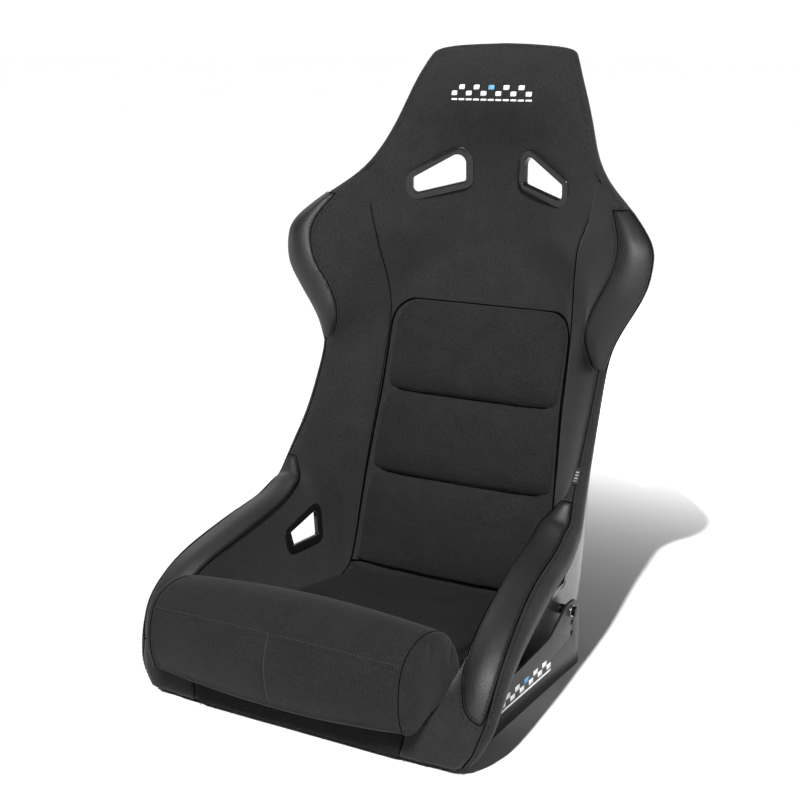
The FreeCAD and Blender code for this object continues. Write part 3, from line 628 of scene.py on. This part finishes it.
def on_covers(points, outward, covers):
    """One for each point that lies just under the covers' outer faces, zero for the others."""
    face = surface_of([SKINS[cover] for cover in covers])
    found = np.zeros(len(points))
    for index, point in enumerate(points):
        hit = face.find_nearest(Vector(point), COVER_REACH)
        if hit[0] is not None and hit[1].dot(Vector(outward[index])) > COVER_LOOKS_OUT:
            found[index] = 1.0
    return found


def upholster(name, nodes, covers, slabs, voxel=PANEL_VOXEL, material=FABRIC):
    """A stuffed panel: the cover and its foam as one rounded skin, drawn in along its seams.
    Above the head line the cover is one stretched piece, so its edges are not drawn in."""
    mesh = remeshed(joined(nodes, slabs), voxel, PANEL_SMOOTHING)
    points, outward = coordinates(mesh), normals(mesh)
    near_seam = distance_to(points, seam_tree(covers), SEAM_LIMIT)
    sewn = np.clip((HEAD_LINE - points[:, 2]) / HEAD_FADE, 0, 1)
    rise = CROWN * (1 - sewn * np.exp(-near_seam / CROWN_REACH))
    dip = sewn * GROOVE * np.exp(-(near_seam / GROOVE_REACH) ** 2)
    pucker = PUCKER * ripple(points, PUCKER_SIZE, 3.7) * np.exp(-near_seam / PUCKER_REACH)
    wave = WAVE * ripple(points, WAVE_SIZE, 11.3)
    move = on_covers(points, outward, covers) * (rise - dip + sewn * pucker + wave)
    put(mesh, points + outward * move[:, None])
    smooth_shading(mesh)
    piece = new_piece(name, mesh, material, "fabric", *nodes)
    return piece


PATCH_LIFT, PATCH_CROWN, PATCH_CROWN_REACH = 0.3 * MM, 1.5 * MM, 7 * MM
PATCH_TUCK, PATCH_TUCK_REACH = 1.2 * MM, 3 * MM
PATCH_PUCKER = 0.3 * MM
PATCH_WAVE, PATCH_WAVE_SIZE = 0.45 * MM, 38 * MM
PATCH_SEAM_LIMIT = 30 * MM


def patch(name, node):
    """A vinyl facing laid over the bolster, its edges turned under."""
    mesh = remeshed(slab(node, BACKING), PATCH_VOXEL, PATCH_SMOOTHING)
    points, outward = coordinates(mesh), normals(mesh)
    near_seam = distance_to(points, seam_tree([node]), PATCH_SEAM_LIMIT)
    rise = PATCH_LIFT + PATCH_CROWN * (1 - np.exp(-near_seam / PATCH_CROWN_REACH))
    rise -= PATCH_TUCK * np.exp(-(near_seam / PATCH_TUCK_REACH) ** 2)
    pucker = PATCH_PUCKER * ripple(points, PUCKER_SIZE, 7.7) * np.exp(-near_seam / PUCKER_REACH)
    wave = PATCH_WAVE * ripple(points, PATCH_WAVE_SIZE, 5.3)
    put(mesh, points + outward * (rise + pucker + wave)[:, None])
    smooth_shading(mesh)
    piece = new_piece(name, mesh, VINYL, "vinyl", node)
    return piece


BACKING = 4.5 * MM
BRIDGE, BRIDGE_DEPTH, BRIDGE_OVERLAP = 3.6 * MM, 3.3 * MM, 10 * MM
SKIRT_OVERLAP = 3 * MM


def head_bridge():
    """Filler under the stretched cover, where the headrest's face meets its rim."""
    row = max(SEAM_ROWS["back_cover"], key=len)
    look = normal_lookup("back_cover")
    return line_mesh([sunk(stretch, look, BRIDGE_DEPTH)
                      for stretch in runs(row, row[:, 2] > HEAD_LINE - BRIDGE_OVERLAP)], BRIDGE)


HEAD_SLABS = [slab("edge_band_" + side, BACKING, above=HEAD_LINE) for side in SIDES]
SOFT = [
    upholster("centre_panel", ["back_cover", "head_foam", "back_foam"],
              ["back_cover", "edge_band_left", "edge_band_right"],
              [slab("back_cover", BACKING), *HEAD_SLABS, head_bridge()]),
    upholster("seat_base_panel", ["base_cover", "base_foam"], ["base_cover"],
              [slab("base_cover", BACKING)], material=SEAT_FABRIC_SHADED),
]
for side in SIDES:
    cover = "side_cover_" + side
    SOFT.append(upholster("side_panel_" + side, [cover, "side_foam_" + side], [cover],
                          [slab(cover, BACKING)]))
    band = "edge_band_" + side
    SOFT.append(upholster("edge_skirt_" + side, [], [band],
                          [slab(band, BACKING, below=HEAD_LINE + SKIRT_OVERLAP)],
                          voxel=BAND_VOXEL))
    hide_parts(band)
    SOFT.append(patch("wing_facing_" + side, "wing_patch_" + side))
    SOFT.append(patch("thigh_facing_" + side, "thigh_patch_" + side))


# -------------------- cushions

SWELL_FRAMES = 20
SWELL_PRESSURE = 4.0
SWELL_QUALITY = 6


def inflate(mesh, pinned, cap):
    """Swells a cushion by cloth simulation, its seat held still and every move capped."""
    holder = bpy.data.objects.new("holder", mesh)
    scene = bpy.context.scene
    scene.collection.objects.link(holder)
    group = holder.vertex_groups.new(name="pin")
    group.add([int(i) for i in np.flatnonzero(pinned)], 1.0, "REPLACE")
    cloth = holder.modifiers.new("swell", "CLOTH")
    cloth.settings.use_pressure = True
    cloth.settings.uniform_pressure_force = SWELL_PRESSURE
    cloth.settings.effector_weights.gravity = 0
    cloth.settings.vertex_group_mass = "pin"
    cloth.settings.quality = SWELL_QUALITY
    cloth.point_cache.frame_start = 1
    cloth.point_cache.frame_end = SWELL_FRAMES
    for step in range(1, SWELL_FRAMES + 1):
        scene.frame_set(step)
    swollen = bpy.data.meshes.new_from_object(
        holder.evaluated_get(bpy.context.evaluated_depsgraph_get()))
    before, after = coordinates(mesh), coordinates(swollen)
    bpy.data.objects.remove(holder)
    scene.frame_set(1)
    move = after - before
    length = np.linalg.norm(move, axis=1)
    move *= np.minimum(1, cap / np.maximum(length, 1e-9))[:, None]
    put(mesh, before + move)


def resting_rows(node, rest_facing):
    """The outline of the face that a cushion rests on."""
    corners, triangles = skin(node, rest_facing)
    return [evenly(corners[row], SEAM_STEP) for row in rims(triangles)]


def resting_rim(node, rest_facing):
    """A search tree over that outline."""
    return tree_of(np.vstack(resting_rows(node, rest_facing)))


RESTS = 0.6
REST_DEPTH = 1.2 * MM
CUSHION_WAVE, CUSHION_WAVE_SIZE = 0.6 * MM, 50 * MM
PLUMP_REACH = 5 * MM


def plumped(points, outward, node, rest_facing, depth):
    """Extra fullness of the face away from the resting one, fading out at the outline."""
    edge = distance_to(points, resting_rim(node, rest_facing), SEAM_LIMIT)
    upper = np.clip(-(outward @ np.array(rest_facing)) + 0.5, 0, 1)
    return depth * upper * (1 - np.exp(-(edge / PLUMP_REACH) ** 2))


def cushion(name, node, rest_facing, inset, cap, shape=None, voxel=CUSHION_VOXEL, smoothing=2,
            material=CUSHION_FABRIC_SHADED, plump=0.0):
    """A stuffed pad: sunk where it rests, swollen above, then given its seams."""
    mesh = remeshed(joined([node]), voxel, smoothing)
    points, outward = coordinates(mesh), normals(mesh)
    resting = outward @ np.array(rest_facing) > RESTS
    put(mesh, points + outward * np.where(resting, REST_DEPTH, -inset)[:, None])
    inflate(mesh, resting, cap)
    mesh = modified(mesh, ("SUBSURF", dict(levels=1, render_levels=1)))
    points, outward = coordinates(mesh), normals(mesh)
    move = CUSHION_WAVE * ripple(points, CUSHION_WAVE_SIZE, 2.9)
    if plump:
        move += plumped(points, outward, node, rest_facing, plump)
    if shape:
        move += shape(points, outward)
    put(mesh, points + outward * move[:, None])
    smooth_shading(mesh)
    piece = new_piece(name, mesh, material, "fabric", node)
    return piece


def crease(distance, depth, width):
    """A sharp-bottomed fold of a depth, with distances measured from its middle."""
    return -depth * np.exp(-np.abs(distance / width) ** 1.3)


CHANNELS = (0.333, 0.213)
CHANNEL_CREASES = ((8.0 * MM, 12 * MM), (5.0 * MM, 3.0 * MM))
CHANNEL_PUCKER, CHANNEL_PUCKER_REACH = 0.5 * MM, 14 * MM


def back_channels(points, outward):
    """Two channels sewn across the front of the back cushion."""
    front = np.clip(-outward[:, 1] * 1.6, 0, 1)
    total = np.zeros(len(points))
    for height in CHANNELS:
        off = points[:, 2] - height
        for depth, width in CHANNEL_CREASES:
            total += front * crease(off, depth, width)
        fade = np.exp(-np.abs(off) / CHANNEL_PUCKER_REACH)
        total += front * CHANNEL_PUCKER * ripple(points, PUCKER_SIZE, 1.9) * fade
    return total


ROLL_END = 0.180
ROLL_FOLD = 0.145
FOLD_RISE, FOLD_LIFT = 5 * MM, 2 * MM
FOLD_LAP, FOLD_EDGE = 2.8 * MM, 1.6 * MM
ROLL_CREASE = 1.3 * MM
END_CREASE_WIDTH, MIDDLE_CREASE_WIDTH = 2.4 * MM, 2.2 * MM
LAP_FADE = 6 * MM
ROLL_PUCKER, ROLL_PUCKER_SIZE, ROLL_PUCKER_REACH = 0.35 * MM, 10 * MM, 12 * MM


def fold_height(across):
    """Height of the lapped edge on the roll's front, higher in the middle than at the ends."""
    return ROLL_FOLD + FOLD_RISE * np.cos(across / ROLL_END * math.pi / 2) + FOLD_LIFT


def roll_seams(points, outward):
    """End panels sewn in, a seam down the middle of the front, and the top panel's edge
    lapped over the front one."""
    across = np.abs(points[:, 0])
    total = crease(np.abs(across - ROLL_END), ROLL_CREASE, END_CREASE_WIDTH)
    front = np.clip(-outward[:, 1] * 2.5, 0, 1)
    between = np.clip((ROLL_END - across) / LAP_FADE, 0, 1)
    below = np.clip((fold_height(points[:, 0]) - points[:, 2]) / FOLD_EDGE, 0, 1)
    total += front * below * crease(points[:, 0], ROLL_CREASE, MIDDLE_CREASE_WIDTH)
    total -= front * between * below * FOLD_LAP
    pucker = ROLL_PUCKER * ripple(points, ROLL_PUCKER_SIZE, 8.8)
    return total + front * pucker * np.exp(-np.abs(points[:, 2] - ROLL_FOLD) / ROLL_PUCKER_REACH)


LUMBAR = cushion("lumbar_cushion", "back_cushion", (0, 1, 0), 2.5 * MM, 8 * MM, back_channels,
                 plump=5 * MM)
SEAT_CUSHION = cushion("seat_cushion", "seat_pad", (0, 0, -1), 2 * MM, 5 * MM,
                       material=SEAT_FABRIC_SHADED, plump=2.5 * MM)
ROLL = cushion("thigh_roll_cushion", "thigh_roll", (0, 0, -1), 2 * MM, 5 * MM, roll_seams,
               voxel=ROLL_VOXEL, smoothing=1)
SOFT += [LUMBAR, SEAT_CUSHION, ROLL]


# -------------------- stitching, and dark cords laid in the seams as painted shade

SURFACE = surface_of_pieces(SOFT)
STITCH = 4.2 * MM
STITCH_GAP = 1.3 * MM
THREAD_RADIUS = 0.42 * MM
STITCH_REACH = 6 * MM
STRAIGHT, SAME_WAY = 0.9, 0.5


def stitch_rows(row, normal_of, offset):
    """Stations of a stitch row beside a closed seam row, as (centre, along, normal)."""
    points = evenly(row, STITCH + STITCH_GAP)
    ahead = np.roll(points, -1, axis=0) - np.roll(points, 1, axis=0)
    ahead /= np.linalg.norm(ahead, axis=1)[:, None]
    stations = []
    for point, along, before in zip(points, ahead, np.roll(ahead, 1, axis=0)):
        if along @ before < STRAIGHT:
            continue
        up = normal_of(point)
        if up is None:
            continue
        out = np.cross(along, up)
        out /= np.linalg.norm(out)
        hit = SURFACE.find_nearest(Vector(point + out * offset), STITCH_REACH)
        if hit[0] is None or hit[1].dot(Vector(up)) < SAME_WAY:
            continue
        stations.append((np.array(hit[0]), along, np.array(hit[1])))
    return stations


def thread_mesh(stations, length, radius, sides=6, rings=5):
    """Short yarn dashes whose ends dive into the cloth."""
    turn = np.arange(sides) * 2 * math.pi / sides
    corners, faces = [], []
    for centre, along, up in stations:
        side = np.cross(up, along)
        side /= np.linalg.norm(side)
        along = np.cross(side, up)
        base = len(corners)
        for ring in range(rings):
            share = ring / (rings - 1) * 2 - 1
            fat = radius * math.sqrt(max(0.05, 1 - share ** 4))
            middle = centre + along * share * length / 2 + up * radius * (0.55 - 1.3 * share ** 4)
            for angle in turn:
                corners.append(middle + side * math.cos(angle) * fat + up * math.sin(angle) * fat)
        for ring in range(rings - 1):
            for k in range(sides):
                a = base + ring * sides + k
                b = base + ring * sides + (k + 1) % sides
                faces.append((a, b, b + sides, a + sides))
        faces.append(tuple(base + k for k in reversed(range(sides))))
        faces.append(tuple(base + (rings - 1) * sides + k for k in range(sides)))
    mesh = mesh_from(corners, faces)
    smooth_shading(mesh)
    return mesh


SEAM_RADIUS = 0.6 * MM
SEAM_MATCH = 2.5 * MM
COVER_SEAM_DEPTH = 0.3 * MM
PATCH_STITCH_OFFSETS = (5.5 * MM, -4.0 * MM)
BAND_STITCH_OFFSET = -5.0 * MM
BAND_SEAM_REACH = 9 * MM


def seam_stretches(side):
    """Where one side's cover meets its neighbours, and the outlines of its patches: the runs
    where dark cords are laid as painted shade.
    """
    cover = "side_cover_" + side
    inner = seam_tree(["back_cover", "base_cover"])
    outer = seam_tree(["edge_band_" + side])
    stretches = []
    for row in SEAM_ROWS[cover]:
        keep = np.array([(inner.find(p)[2] < SEAM_MATCH or outer.find(p)[2] < SEAM_MATCH)
                         and p[2] < HEAD_LINE for p in row])
        for stretch in runs(row, keep):
            stretches.append(sunk(stretch, normal_lookup(cover), COVER_SEAM_DEPTH))
    for node in ("wing_patch_" + side, "thigh_patch_" + side):
        stretches += [np.vstack([row, row[:1]]) for row in SEAM_ROWS[node]]
    return stretches


def stitch_stations(side):
    """Stitches on both sides of each patch's edge, and along the edge band's seam."""
    stations = []
    for node in ("wing_patch_" + side, "thigh_patch_" + side):
        look = normal_lookup(node)
        for row in SEAM_ROWS[node]:
            for offset in PATCH_STITCH_OFFSETS:
                stations += stitch_rows(row, look, offset)
    band = "edge_band_" + side
    look = normal_lookup(band)
    cover_tree = seam_tree(["side_cover_" + side, "base_cover", "back_cover"])
    for row in SEAM_ROWS[band]:
        for centre, along, up in stitch_rows(row, look, BAND_STITCH_OFFSET):
            if cover_tree.find(centre)[2] < BAND_SEAM_REACH:
                stations.append((centre, along, up))
    return stations


# Dark cords sunk into the side seams and round the patches: painted shade of the seam crevices.
for side in SIDES:
    new_piece("seam_shadow_line_" + side, line_mesh(seam_stretches(side), SEAM_RADIUS), SEAM_SHADOW,
              "fabric")
for side in SIDES:
    threads = thread_mesh(stitch_stations(side), STITCH, THREAD_RADIUS)
    new_piece("topstitch_" + side, threads, BLACK_THREAD, "fabric")


ROLL_SURFACE = surface_of_pieces([ROLL])
low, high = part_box("thigh_roll")
ROLL_CORE = ((low.y + high.y) / 2, (low.z + high.z) / 2)
CORD_LIFT = 0.1 * MM


def round_the_roll(across, start, end, count):
    """Points round the roll's section at one station, just above its cloth."""
    found = []
    for turn in np.linspace(math.radians(start), math.radians(end), count):
        way = Vector((0, math.cos(turn), math.sin(turn)))
        hit = ROLL_SURFACE.ray_cast(Vector((across, *ROLL_CORE)), way)
        if hit[0] is not None:
            found.append(np.array(hit[0]) + np.array(way) * CORD_LIFT)
    return found


FOLD_STITCH, FOLD_STITCH_STEP, FOLD_STITCH_RADIUS = 3.0 * MM, 4.6 * MM, 0.4 * MM
FOLD_STITCH_LIFT, FOLD_STITCH_MARGIN = 3.5 * MM, 5 * MM


def along_the_fold():
    """Stations of the stitches just above the roll's lapped edge."""
    found = []
    end = ROLL_END - FOLD_STITCH_MARGIN
    for across in np.arange(-end, end, FOLD_STITCH_STEP):
        start = Vector((across, ROLL_CORE[0], fold_height(across) + FOLD_STITCH_LIFT))
        hit = ROLL_SURFACE.ray_cast(start, Vector((0, -1, 0)))
        if hit[0] is not None:
            up = np.array(hit[1])
            found.append((np.array(hit[0]), np.array((1.0, 0, 0)), up if up[1] < 0 else -up))
    return found


def down_on(surface, places):
    """Where lines from the front meet a surface, at places given as (across, height)."""
    hits = [surface.ray_cast(Vector((across, -1.0, height)), Vector((0, 1, 0)))
            for across, height in places]
    return np.array([np.array(hit[0]) for hit in hits if hit[0] is not None])


PANEL_SURFACE = surface_of_pieces([SOFT[0]])
EDGE_SPREAD = 1.034
EDGE_CORD, CHANNEL_CORD, MIDDLE_CORD = 1.6 * MM, 1.0 * MM, 0.4 * MM
# A dark cord on the panel round the lumbar cushion's outline: painted shade of the gap under the
# cushion's edge.
edge_lines = []
for row in resting_rows("back_cushion", (0, 1, 0)):
    outline = np.vstack([row, row[:1]])
    edge_lines.append(down_on(PANEL_SURFACE, [(x * EDGE_SPREAD, z) for x, y, z in outline]))
new_piece("cushion_edge_shadow_line", line_mesh(edge_lines, EDGE_CORD), SEAM_SHADOW, "fabric")

# Dark cords in the bottoms of the two channels: painted shade of the channel grooves.
CHANNEL_END, CHANNEL_STEP = 0.138, 3 * MM
LUMBAR_SURFACE = surface_of_pieces([LUMBAR])
across_channel = np.arange(-CHANNEL_END, CHANNEL_END + 0.1 * MM, CHANNEL_STEP)
channels = [down_on(LUMBAR_SURFACE, [(across, height) for across in across_channel])
            for height in CHANNELS]
new_piece("cushion_channel_shadow_lines", line_mesh(channels, CHANNEL_CORD), SEAM_SHADOW, "fabric")

# Dark cords round the roll's end seams: painted shade of the seam crevices.
end_lines = [np.array(round_the_roll(sign * ROLL_END, 0, 360, 160)) for sign in (-1, 1)]
new_piece("roll_end_shadow_lines", line_mesh(end_lines, SEAM_RADIUS), SEAM_SHADOW, "fabric")
middle_top = fold_height(0.0) + 4 * MM
middle = np.array([p for p in round_the_roll(0.0, 150, 258, 80) if p[2] < middle_top])
new_piece("roll_middle_seam", line_mesh([middle], MIDDLE_CORD), GREY_THREAD, "fabric")
new_piece("roll_fold_stitches", thread_mesh(along_the_fold(), FOLD_STITCH, FOLD_STITCH_RADIUS),
          GREY_THREAD, "fabric")


# -------------------- hard parts

BEVEL_ANGLE = math.radians(28)
BEZEL_BEVEL, PLATE_BEVEL, BOLT_BEVEL, WASHER_BEVEL = 1.4 * MM, 0.7 * MM, 0.4 * MM, 0.25 * MM


def hard_copy(name, node, material, slot, bevel):
    """A CAD solid with its edges broken, so that they catch the light."""
    mesh = modified(joined([node], dissolve=True),
                    ("BEVEL", dict(width=bevel, segments=3, limit_method="ANGLE",
                                   angle_limit=BEVEL_ANGLE, harden_normals=False)))
    smooth_shading(mesh)
    mesh.set_sharp_from_angle(angle=SHARP_ANGLE)
    return new_piece(name, mesh, material, slot, node)


def paint(node, material):
    """Gives a carried-over CAD node its material."""
    mesh = NODES[node]
    if not mesh.material_slots:
        mesh.data.materials.append(material)
    for holder in mesh.material_slots:
        holder.material = material


for side in SIDES:
    for kind in ("shoulder_bezel_", "lap_bezel_", "lap_bezel_outer_"):
        hard_copy(kind + "ring_" + side, kind + side, PLASTIC, "moulded_plastic", BEZEL_BEVEL)
    hard_copy("side_bracket_" + side, "bracket_" + side, PAINT, "bracket_paint", PLATE_BEVEL)
hard_copy("bracket_bolts", "mount_bolts", BLACK_STEEL, "black_steel", BOLT_BEVEL)
hard_copy("bracket_spacers", "mount_spacers", BLACK_STEEL, "black_steel", BOLT_BEVEL)
hard_copy("bracket_washers", "mount_washers", ZINC, "zinc", WASHER_BEVEL)
paint("shell", LAMINATE)
paint("threaded_inserts", BLACK_STEEL)


# -------------------- badges

TILE_STEPS = 4
TILE_ROUNDING = 3.2
TILE_EDGE_DEPTH = 0.3 * MM
BADGE_COLUMNS, BADGE_ROWS = 11, 2
CELL_FILL = (0.96, 0.94)
BAR_START, BAR_HEIGHT = 0.25, 0.4
BADGE_BACKING = 0.35 * MM
THREAD_RISE, INK_RISE = 0.5 * MM, 0.12 * MM


def tile(corner, axes, size, rise, drop, corners, faces):
    """Adds a raised cell with a rounded edge; drop(point) seats a point on the surface below."""
    across, up, out = axes
    base = len(corners)
    for row in range(TILE_STEPS + 1):
        for column in range(TILE_STEPS + 1):
            u, v = column / TILE_STEPS, row / TILE_STEPS
            edge = min(u, 1 - u, v, 1 - v)
            lift = rise * math.sin(min(1, edge * TILE_ROUNDING) * math.pi / 2)
            lift -= TILE_EDGE_DEPTH * (edge == 0)
            point = corner + across * size[0] * u + up * size[1] * v
            corners.append(drop(point) + out * lift)
    for row in range(TILE_STEPS):
        for column in range(TILE_STEPS):
            a = base + row * (TILE_STEPS + 1) + column
            b = a + TILE_STEPS + 1
            faces.append((a, a + 1, b + 1, b))


def strip_mesh(accent, origin, axes, cell, drop, rise):
    """The accent cell, or all the other cells of a chequered strip and the bar beneath it."""
    across, up, out = axes
    corners, faces = [], []
    for row in range(BADGE_ROWS):
        for column in range(BADGE_COLUMNS):
            is_accent = column == BADGE_COLUMNS // 2
            if (row + column) % 2 == 0 and is_accent == accent:
                corner = origin + across * cell[0] * column + up * cell[1] * (row + 1)
                size = (cell[0] * CELL_FILL[0], cell[1] * CELL_FILL[1])
                tile(corner, axes, size, rise, drop, corners, faces)
    if not accent:
        for column in range(BADGE_COLUMNS):
            corner = origin + across * cell[0] * column + up * cell[1] * BAR_START
            tile(corner, axes, (cell[0], cell[1] * BAR_HEIGHT), rise, drop, corners, faces)
    backing = ("SOLIDIFY", dict(thickness=BADGE_BACKING, offset=-1))
    return modified(mesh_from(corners, faces), backing)


def check_strip(name, origin, axes, cell, drop, rise, main, accent, replaced):
    """A generic chequered strip two rows high, with a plain bar beneath it."""
    for part, material in (("main", main), ("accent", accent)):
        mesh = strip_mesh(part == "accent", origin, axes, cell, drop, rise)
        smooth_shading(mesh)
        new_piece(name + "_" + part, mesh, material, "label", replaced)


def on_headrest(point):
    """The point on the headrest's cover straight behind a point."""
    start = Vector((point[0], point[1] - 0.1, point[2]))
    hit = PANEL_SURFACE.ray_cast(start, Vector((0, 1, 0)))
    return np.array(hit[0]) if hit[0] is not None else np.array(point)


def unmoved(point):
    return point


def headrest_badge():
    low, high = (np.array(c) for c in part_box("headrest_emblem"))
    axes = np.array((1.0, 0, 0)), np.array((0, 0, 1.0)), np.array((0, -1.0, 0))
    cell = ((high[0] - low[0]) / BADGE_COLUMNS, (high[2] - low[2]) / (BADGE_ROWS + 1))
    check_strip("headrest_badge", low, axes, cell, on_headrest, THREAD_RISE, WHITE_THREAD,
                BLUE_THREAD, "headrest_emblem")


def bracket_badge(side):
    node = "bracket_decal_" + side
    low, high = (np.array(c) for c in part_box(node))
    sign = sign_of(node)
    start = np.array((high[0], low[1], low[2]) if sign > 0 else (low[0], high[1], low[2]))
    axes = np.array((0, sign * 1.0, 0)), np.array((0, 0, 1.0)), np.array((sign * 1.0, 0, 0))
    cell = ((high[1] - low[1]) / BADGE_COLUMNS, (high[2] - low[2]) / (BADGE_ROWS + 1))
    check_strip("bracket_badge_" + side, start, axes, cell, unmoved, INK_RISE, WHITE_INK,
                BLUE_INK, node)


headrest_badge()
for side in SIDES:
    bracket_badge(side)


TAG_WAVE = np.array((0.6, -0.6, 0)) * MM
TAG_WAVE_LENGTH = 3.2 * MM


def woven_label():
    """Black woven ribbon with a broken row of plain pale picks along it."""
    g = Graph("woven_label")
    low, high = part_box("side_tag")
    rib = g.wave(0.8 * MM, "Z", 0.3)
    split = g.add("ShaderNodeSeparateXYZ")
    g.feed(split.inputs[0], g.place)
    middle = g.near(g.ramp(split.outputs["Z"], low.z, high.z), 0.5, 0.30)
    row = g.near(g.ramp(split.outputs["X"], low.x, high.x), 0.5, 0.18)
    dashes = g.ramp(g.wave(3.4 * MM, "Z"), 0.45, 0.6)
    pale = g.maths("MULTIPLY", g.maths("MULTIPLY", middle, row), dashes)
    colour = g.blend(pale, grey(0.005), grey(0.24))
    return g.finish(Base_Color=colour, Roughness=0.8, Normal=g.bump(rib, 0.15 * MM, 0.6))


def woven_tag():
    """The side tag as a slightly wavy ribbon."""
    mesh = modified(joined(["side_tag"]), ("SUBSURF", dict(levels=3, render_levels=3,
                                                           subdivision_type="SIMPLE")))
    points = coordinates(mesh)
    put(mesh, points + TAG_WAVE * np.sin(points[:, 2:] / TAG_WAVE_LENGTH))
    smooth_shading(mesh)
    mesh.set_sharp_from_angle(angle=math.radians(40))
    new_piece("woven_tag", mesh, woven_label(), "label", "side_tag")


woven_tag()


# -------------------- stage, lights, camera

FLOOR_REACH = 60.0
FLOOR_GAP = 0.2 * MM


def floor():
    """A wide, plain, pale floor just under the seat's feet."""
    g = Graph("pale_floor")
    cloud = g.noise(0.8)
    colour = g.blend(g.ramp(cloud, 0.3, 0.7), grey(0.90), grey(0.92))
    material = g.finish(Base_Color=colour, Roughness=g.ramp(cloud, 0.3, 0.7, 0.75, 0.8))
    around = ((-1, -1), (1, -1), (1, 1), (-1, 1))
    mesh = mesh_from([(x * FLOOR_REACH, y * FLOOR_REACH, 0) for x, y in around], [(0, 1, 2, 3)])
    mesh.materials.append(material)
    plane = bpy.data.objects.new("studio_floor", mesh)
    plane.location.z = CAD_LOW.z - FLOOR_GAP
    bpy.context.scene.collection.objects.link(plane)
    plane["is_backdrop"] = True
    return plane


def direction(azimuth, elevation):
    """Unit vector from the seat; azimuth 0 is the front, and 90 is positive x."""
    a, e = math.radians(azimuth), math.radians(elevation)
    return Vector((math.sin(a) * math.cos(e), -math.cos(a) * math.cos(e), math.sin(e)))


def aim(thing, back):
    """Turns a lamp or camera so that it looks against a vector."""
    thing.rotation_mode = "QUATERNION"
    thing.rotation_quaternion = (-back).to_track_quat("-Z", "Y")


def lamp_of(name, kind, energy, receivers):
    """A lamp that lights only one group of things."""
    data = bpy.data.lights.new(name, kind)
    data.energy = energy
    lamp = bpy.data.objects.new(name, data)
    bpy.context.scene.collection.objects.link(lamp)
    lamp.light_linking.receiver_collection = receivers
    return lamp


def sun(name, azimuth, elevation, strength, softness, receivers):
    """A distant lamp; its softness is the angle in degrees that it fills."""
    lamp = lamp_of(name, "SUN", strength, receivers)
    lamp.data.angle = math.radians(softness)
    aim(lamp, direction(azimuth, elevation))


def group_of(name, things):
    """A collection that lamps can be limited to."""
    group = bpy.data.collections.new(name)
    for thing in things:
        group.objects.link(thing)
    return group


def panel_light(name, place, back, size, power, receivers):
    """A soft box at a place, shining against a vector."""
    lamp = lamp_of(name, "AREA", power, receivers)
    lamp.data.shape = "RECTANGLE"
    lamp.data.size, lamp.data.size_y = size
    lamp.location = place
    lamp.visible_camera = False
    aim(lamp, back)


HORIZON_STRENGTH, CEILING_STRENGTH = 1.1, 0.05
HORIZON_TOP, CEILING_START = 0.04, 0.16


def world():
    """A white horizon under a dimmer ceiling."""
    made = bpy.data.worlds.new("studio")
    made.use_nodes = True
    tree = made.node_tree
    ground = tree.nodes["Background"]
    ground.inputs["Color"].default_value = (1, 1, 1, 1)
    way = tree.nodes.new("ShaderNodeTexCoord")
    split = tree.nodes.new("ShaderNodeSeparateXYZ")
    fade = tree.nodes.new("ShaderNodeMapRange")
    tree.links.new(way.outputs["Generated"], split.inputs[0])
    tree.links.new(split.outputs["Z"], fade.inputs["Value"])
    for key, number in zip(("From Min", "From Max", "To Min", "To Max"),
                           (HORIZON_TOP, CEILING_START, HORIZON_STRENGTH, CEILING_STRENGTH)):
        fade.inputs[key].default_value = number
    tree.links.new(fade.outputs["Result"], ground.inputs["Strength"])
    bpy.context.scene.world = made


CAMERA_AZIMUTH, CAMERA_ELEVATION = 30.21, 14.03
CAMERA_DISTANCE = 1.951
CAMERA_LENS, CAMERA_SENSOR = 64.8, 36.0
TARGET_FROM_MIDDLE = (-0.0155, 0.0343)
TARGET_HEIGHT = 0.366


def camera():
    """The catalogue view: from the front right and a little above."""
    data = bpy.data.cameras.new("catalogue")
    data.sensor_width = CAMERA_SENSOR
    data.lens = CAMERA_LENS
    data.clip_start, data.clip_end = 0.05, 200.0
    lens = bpy.data.objects.new("catalogue", data)
    bpy.context.scene.collection.objects.link(lens)
    back = direction(CAMERA_AZIMUTH, CAMERA_ELEVATION)
    target = Vector((MIDDLE.x + TARGET_FROM_MIDDLE[0], MIDDLE.y + TARGET_FROM_MIDDLE[1],
                     CAD_LOW.z + TARGET_HEIGHT))
    lens.location = target + back * CAMERA_DISTANCE
    aim(lens, back)
    bpy.context.scene.camera = lens


MIDDLE = (CAD_LOW + CAD_HIGH) / 2
UP = Vector((0, 0, 1))
RIGHT_BANK = direction(42, 26)
SEAT = group_of("seat_only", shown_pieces())
FLOOR = group_of("floor_only", [floor()])
world()
sun("seat_key", 30, 46, 4.8, 12, SEAT)
sun("floor_key", 9, 42, 5.3, 1.5, FLOOR)
sun("rear_fill", 235, 35, 0.7, 30, SEAT)
panel_light("right_bank", MIDDLE + RIGHT_BANK * 3.0, RIGHT_BANK, (1.4, 1.4), 28, SEAT)
panel_light("ceiling", MIDDLE + UP * 2.5, UP, (3.0, 3.0), 3.4, SEAT)
panel_light("floor_wash", (0.3, 1.65, 0.35), UP, (1.8, 1.4), 17.0, FLOOR)
camera()
bpy.context.scene.view_settings.view_transform = "Standard"

low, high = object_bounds()
